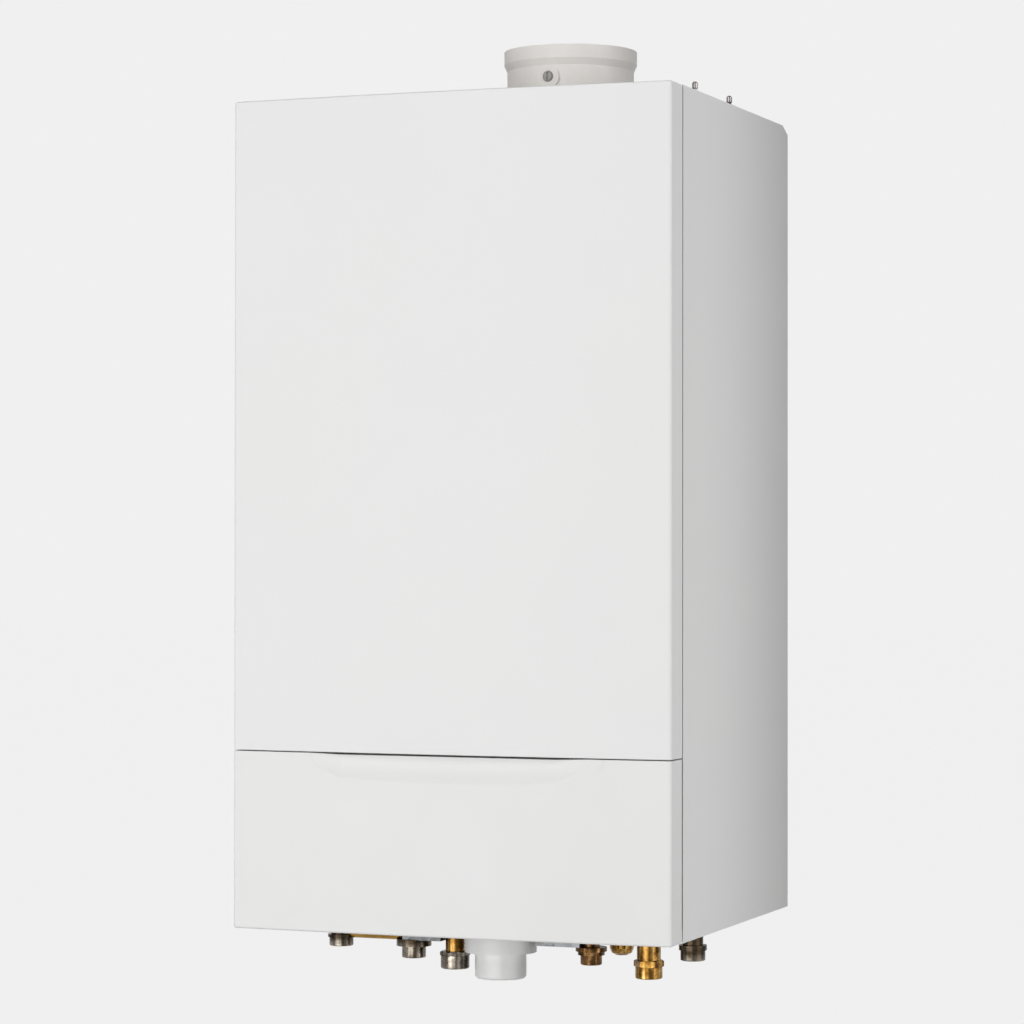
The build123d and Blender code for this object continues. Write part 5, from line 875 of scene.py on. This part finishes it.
charcoal_print = Finish("charcoal_print", 0.6, Specular_IOR_Level=0.3)
charcoal_print.paint(charcoal_print.ramp(
    charcoal_print.cloud(300, 3), (0.3, tone(40, 41, 43)), (0.7, tone(52, 53, 55))))
charcoal_print.gloss(charcoal_print.cloud(600, 2), 0.3, 0.7, 0.5, 0.7)
mark_front, mark_rear = -342.2, -341.9
minus_mark = bmesh.new()
patch(minus_mark, (-23.2, -16.8), (55.4, 56.6), mark_front, mark_rear)
piece("minus_mark", minus_mark, "minus_key", charcoal_print)
plus_mark = bmesh.new()
patch(plus_mark, (16.8, 23.2), (55.4, 56.6), mark_front, mark_rear)
# The upright bar sits a little deeper, so that the two bars share no front face.
patch(plus_mark, (19.4, 20.6), (52.8, 59.2), mark_front + 0.01, mark_rear)
piece("plus_mark", plus_mark, "plus_key", charcoal_print)

# ---------------------------------------------------------------- pressure gauge
# A white dial with printed scale from 0 to 4 bar, a black needle, and a clear lens snapped into the
# black case.
dial_white = Finish("dial_white", 0.5, Specular_IOR_Level=0.35)
dial_white.paint(dial_white.ramp(
    dial_white.cloud(90, 4), (0.3, tone(224, 224, 220)), (0.7, tone(234, 234, 231))))
dial_white.gloss(dial_white.cloud(300, 2), 0.3, 0.7, 0.42, 0.6)
dial_white.relief(dial_white.cloud(1600, 2), 0.00001, 0.4)
dial = bmesh.new()
turned(
    dial, at(gauge_x, -333.9, knob_height), (0, -1, 0), (1.5, 0), (20.2, 0), (20.2, 0.5), (1.5, 0.5),
    sides=72, ring=True)
piece("gauge_dial", dial, "boiler", dial_white)

full_pressure, steps_to_a_bar = 4, 4
dial_steps = full_pressure * steps_to_a_bar
dial_print = bmesh.new()
centre = at(gauge_x, -334.45, knob_height)
for step in range(dial_steps + 1):
    angle = math.radians(scale_start - scale_sweep / dial_steps * step)
    whole = step % steps_to_a_bar == 0
    tick(dial_print, centre, angle, 15 if whole else 16.6, 18.6, 0.7 if whole else 0.4)
    if whole:
        lettering(dial_print, str(step // steps_to_a_bar), 5, around(centre, angle, 11.8))
lettering(dial_print, "bar", 3.6, centre - Vector((0, 0, 0.012)))
piece("gauge_print", dial_print, "boiler", charcoal_print)

needle_paint = Finish("needle_paint", 0.5, Specular_IOR_Level=0.35)
needle_paint.paint(needle_paint.ramp(
    needle_paint.cloud(300, 3), (0.3, tone(28, 28, 29)), (0.7, tone(42, 42, 43))))
needle_paint.gloss(needle_paint.cloud(600, 2), 0.3, 0.7, 0.4, 0.62)
dress(needle_paint, "gauge_needle")

lens_glass = Finish("lens_glass", 0.05, Specular_IOR_Level=0.5, Transmission_Weight=1.0, IOR=1.49)
lens_glass.paint(lens_glass.ramp(
    lens_glass.cloud(50, 2), (0.3, tone(246, 248, 248)), (0.7, tone(250, 251, 251))))
lens_glass.gloss(lens_glass.cloud(220, 4), 0.4, 0.8, 0.02, 0.1)
lens = bmesh.new()
turned(
    lens, at(gauge_x, -338.6, knob_height), (0, -1, 0), (20.4, 0), (20.4, 0.8), (19.6, 1.1), (10, 1.25),
    sides=72)
piece("gauge_lens", lens, "boiler", lens_glass)

# ---------------------------------------------------------------- circuit board
# Glass fibre laminate with green solder mask over copper tracks. It carries dark relays and capacitors
# behind, and the display, key switches and potentiometers in front.
board = Finish("circuit_board", 0.4, Specular_IOR_Level=0.45)
tracks = board.spread(board.cells(120, "DISTANCE_TO_EDGE"), 0.02, 0.035, 1, 0)
mask_green = board.ramp(board.cloud(60, 4), (0.3, tone(18, 84, 48)), (0.7, tone(26, 102, 60)))
laminate = board.over(mask_green, tone(62, 138, 84), tracks)
rear_parts = board.ramp(board.cloud(90, 4), (0.3, tone(38, 38, 41)), (0.7, tone(54, 54, 58)))
front_parts = board.ramp(board.cloud(90, 4), (0.3, tone(30, 32, 33)), (0.7, tone(42, 44, 46)))
board_front, board_rear = -0.3061, -0.3043
ahead = board.worked(1, board.beyond(1, board_front), "SUBTRACT")
behind = board.beyond(1, board_rear)
board.paint(board.over(board.over(laminate, front_parts, ahead), rear_parts, behind))
board.gloss(board.cloud(260, 3), 0.3, 0.7, 0.32, 0.54)
board.relief(tracks, 0.00004, 0.6)
dress(board, "circuit_board")
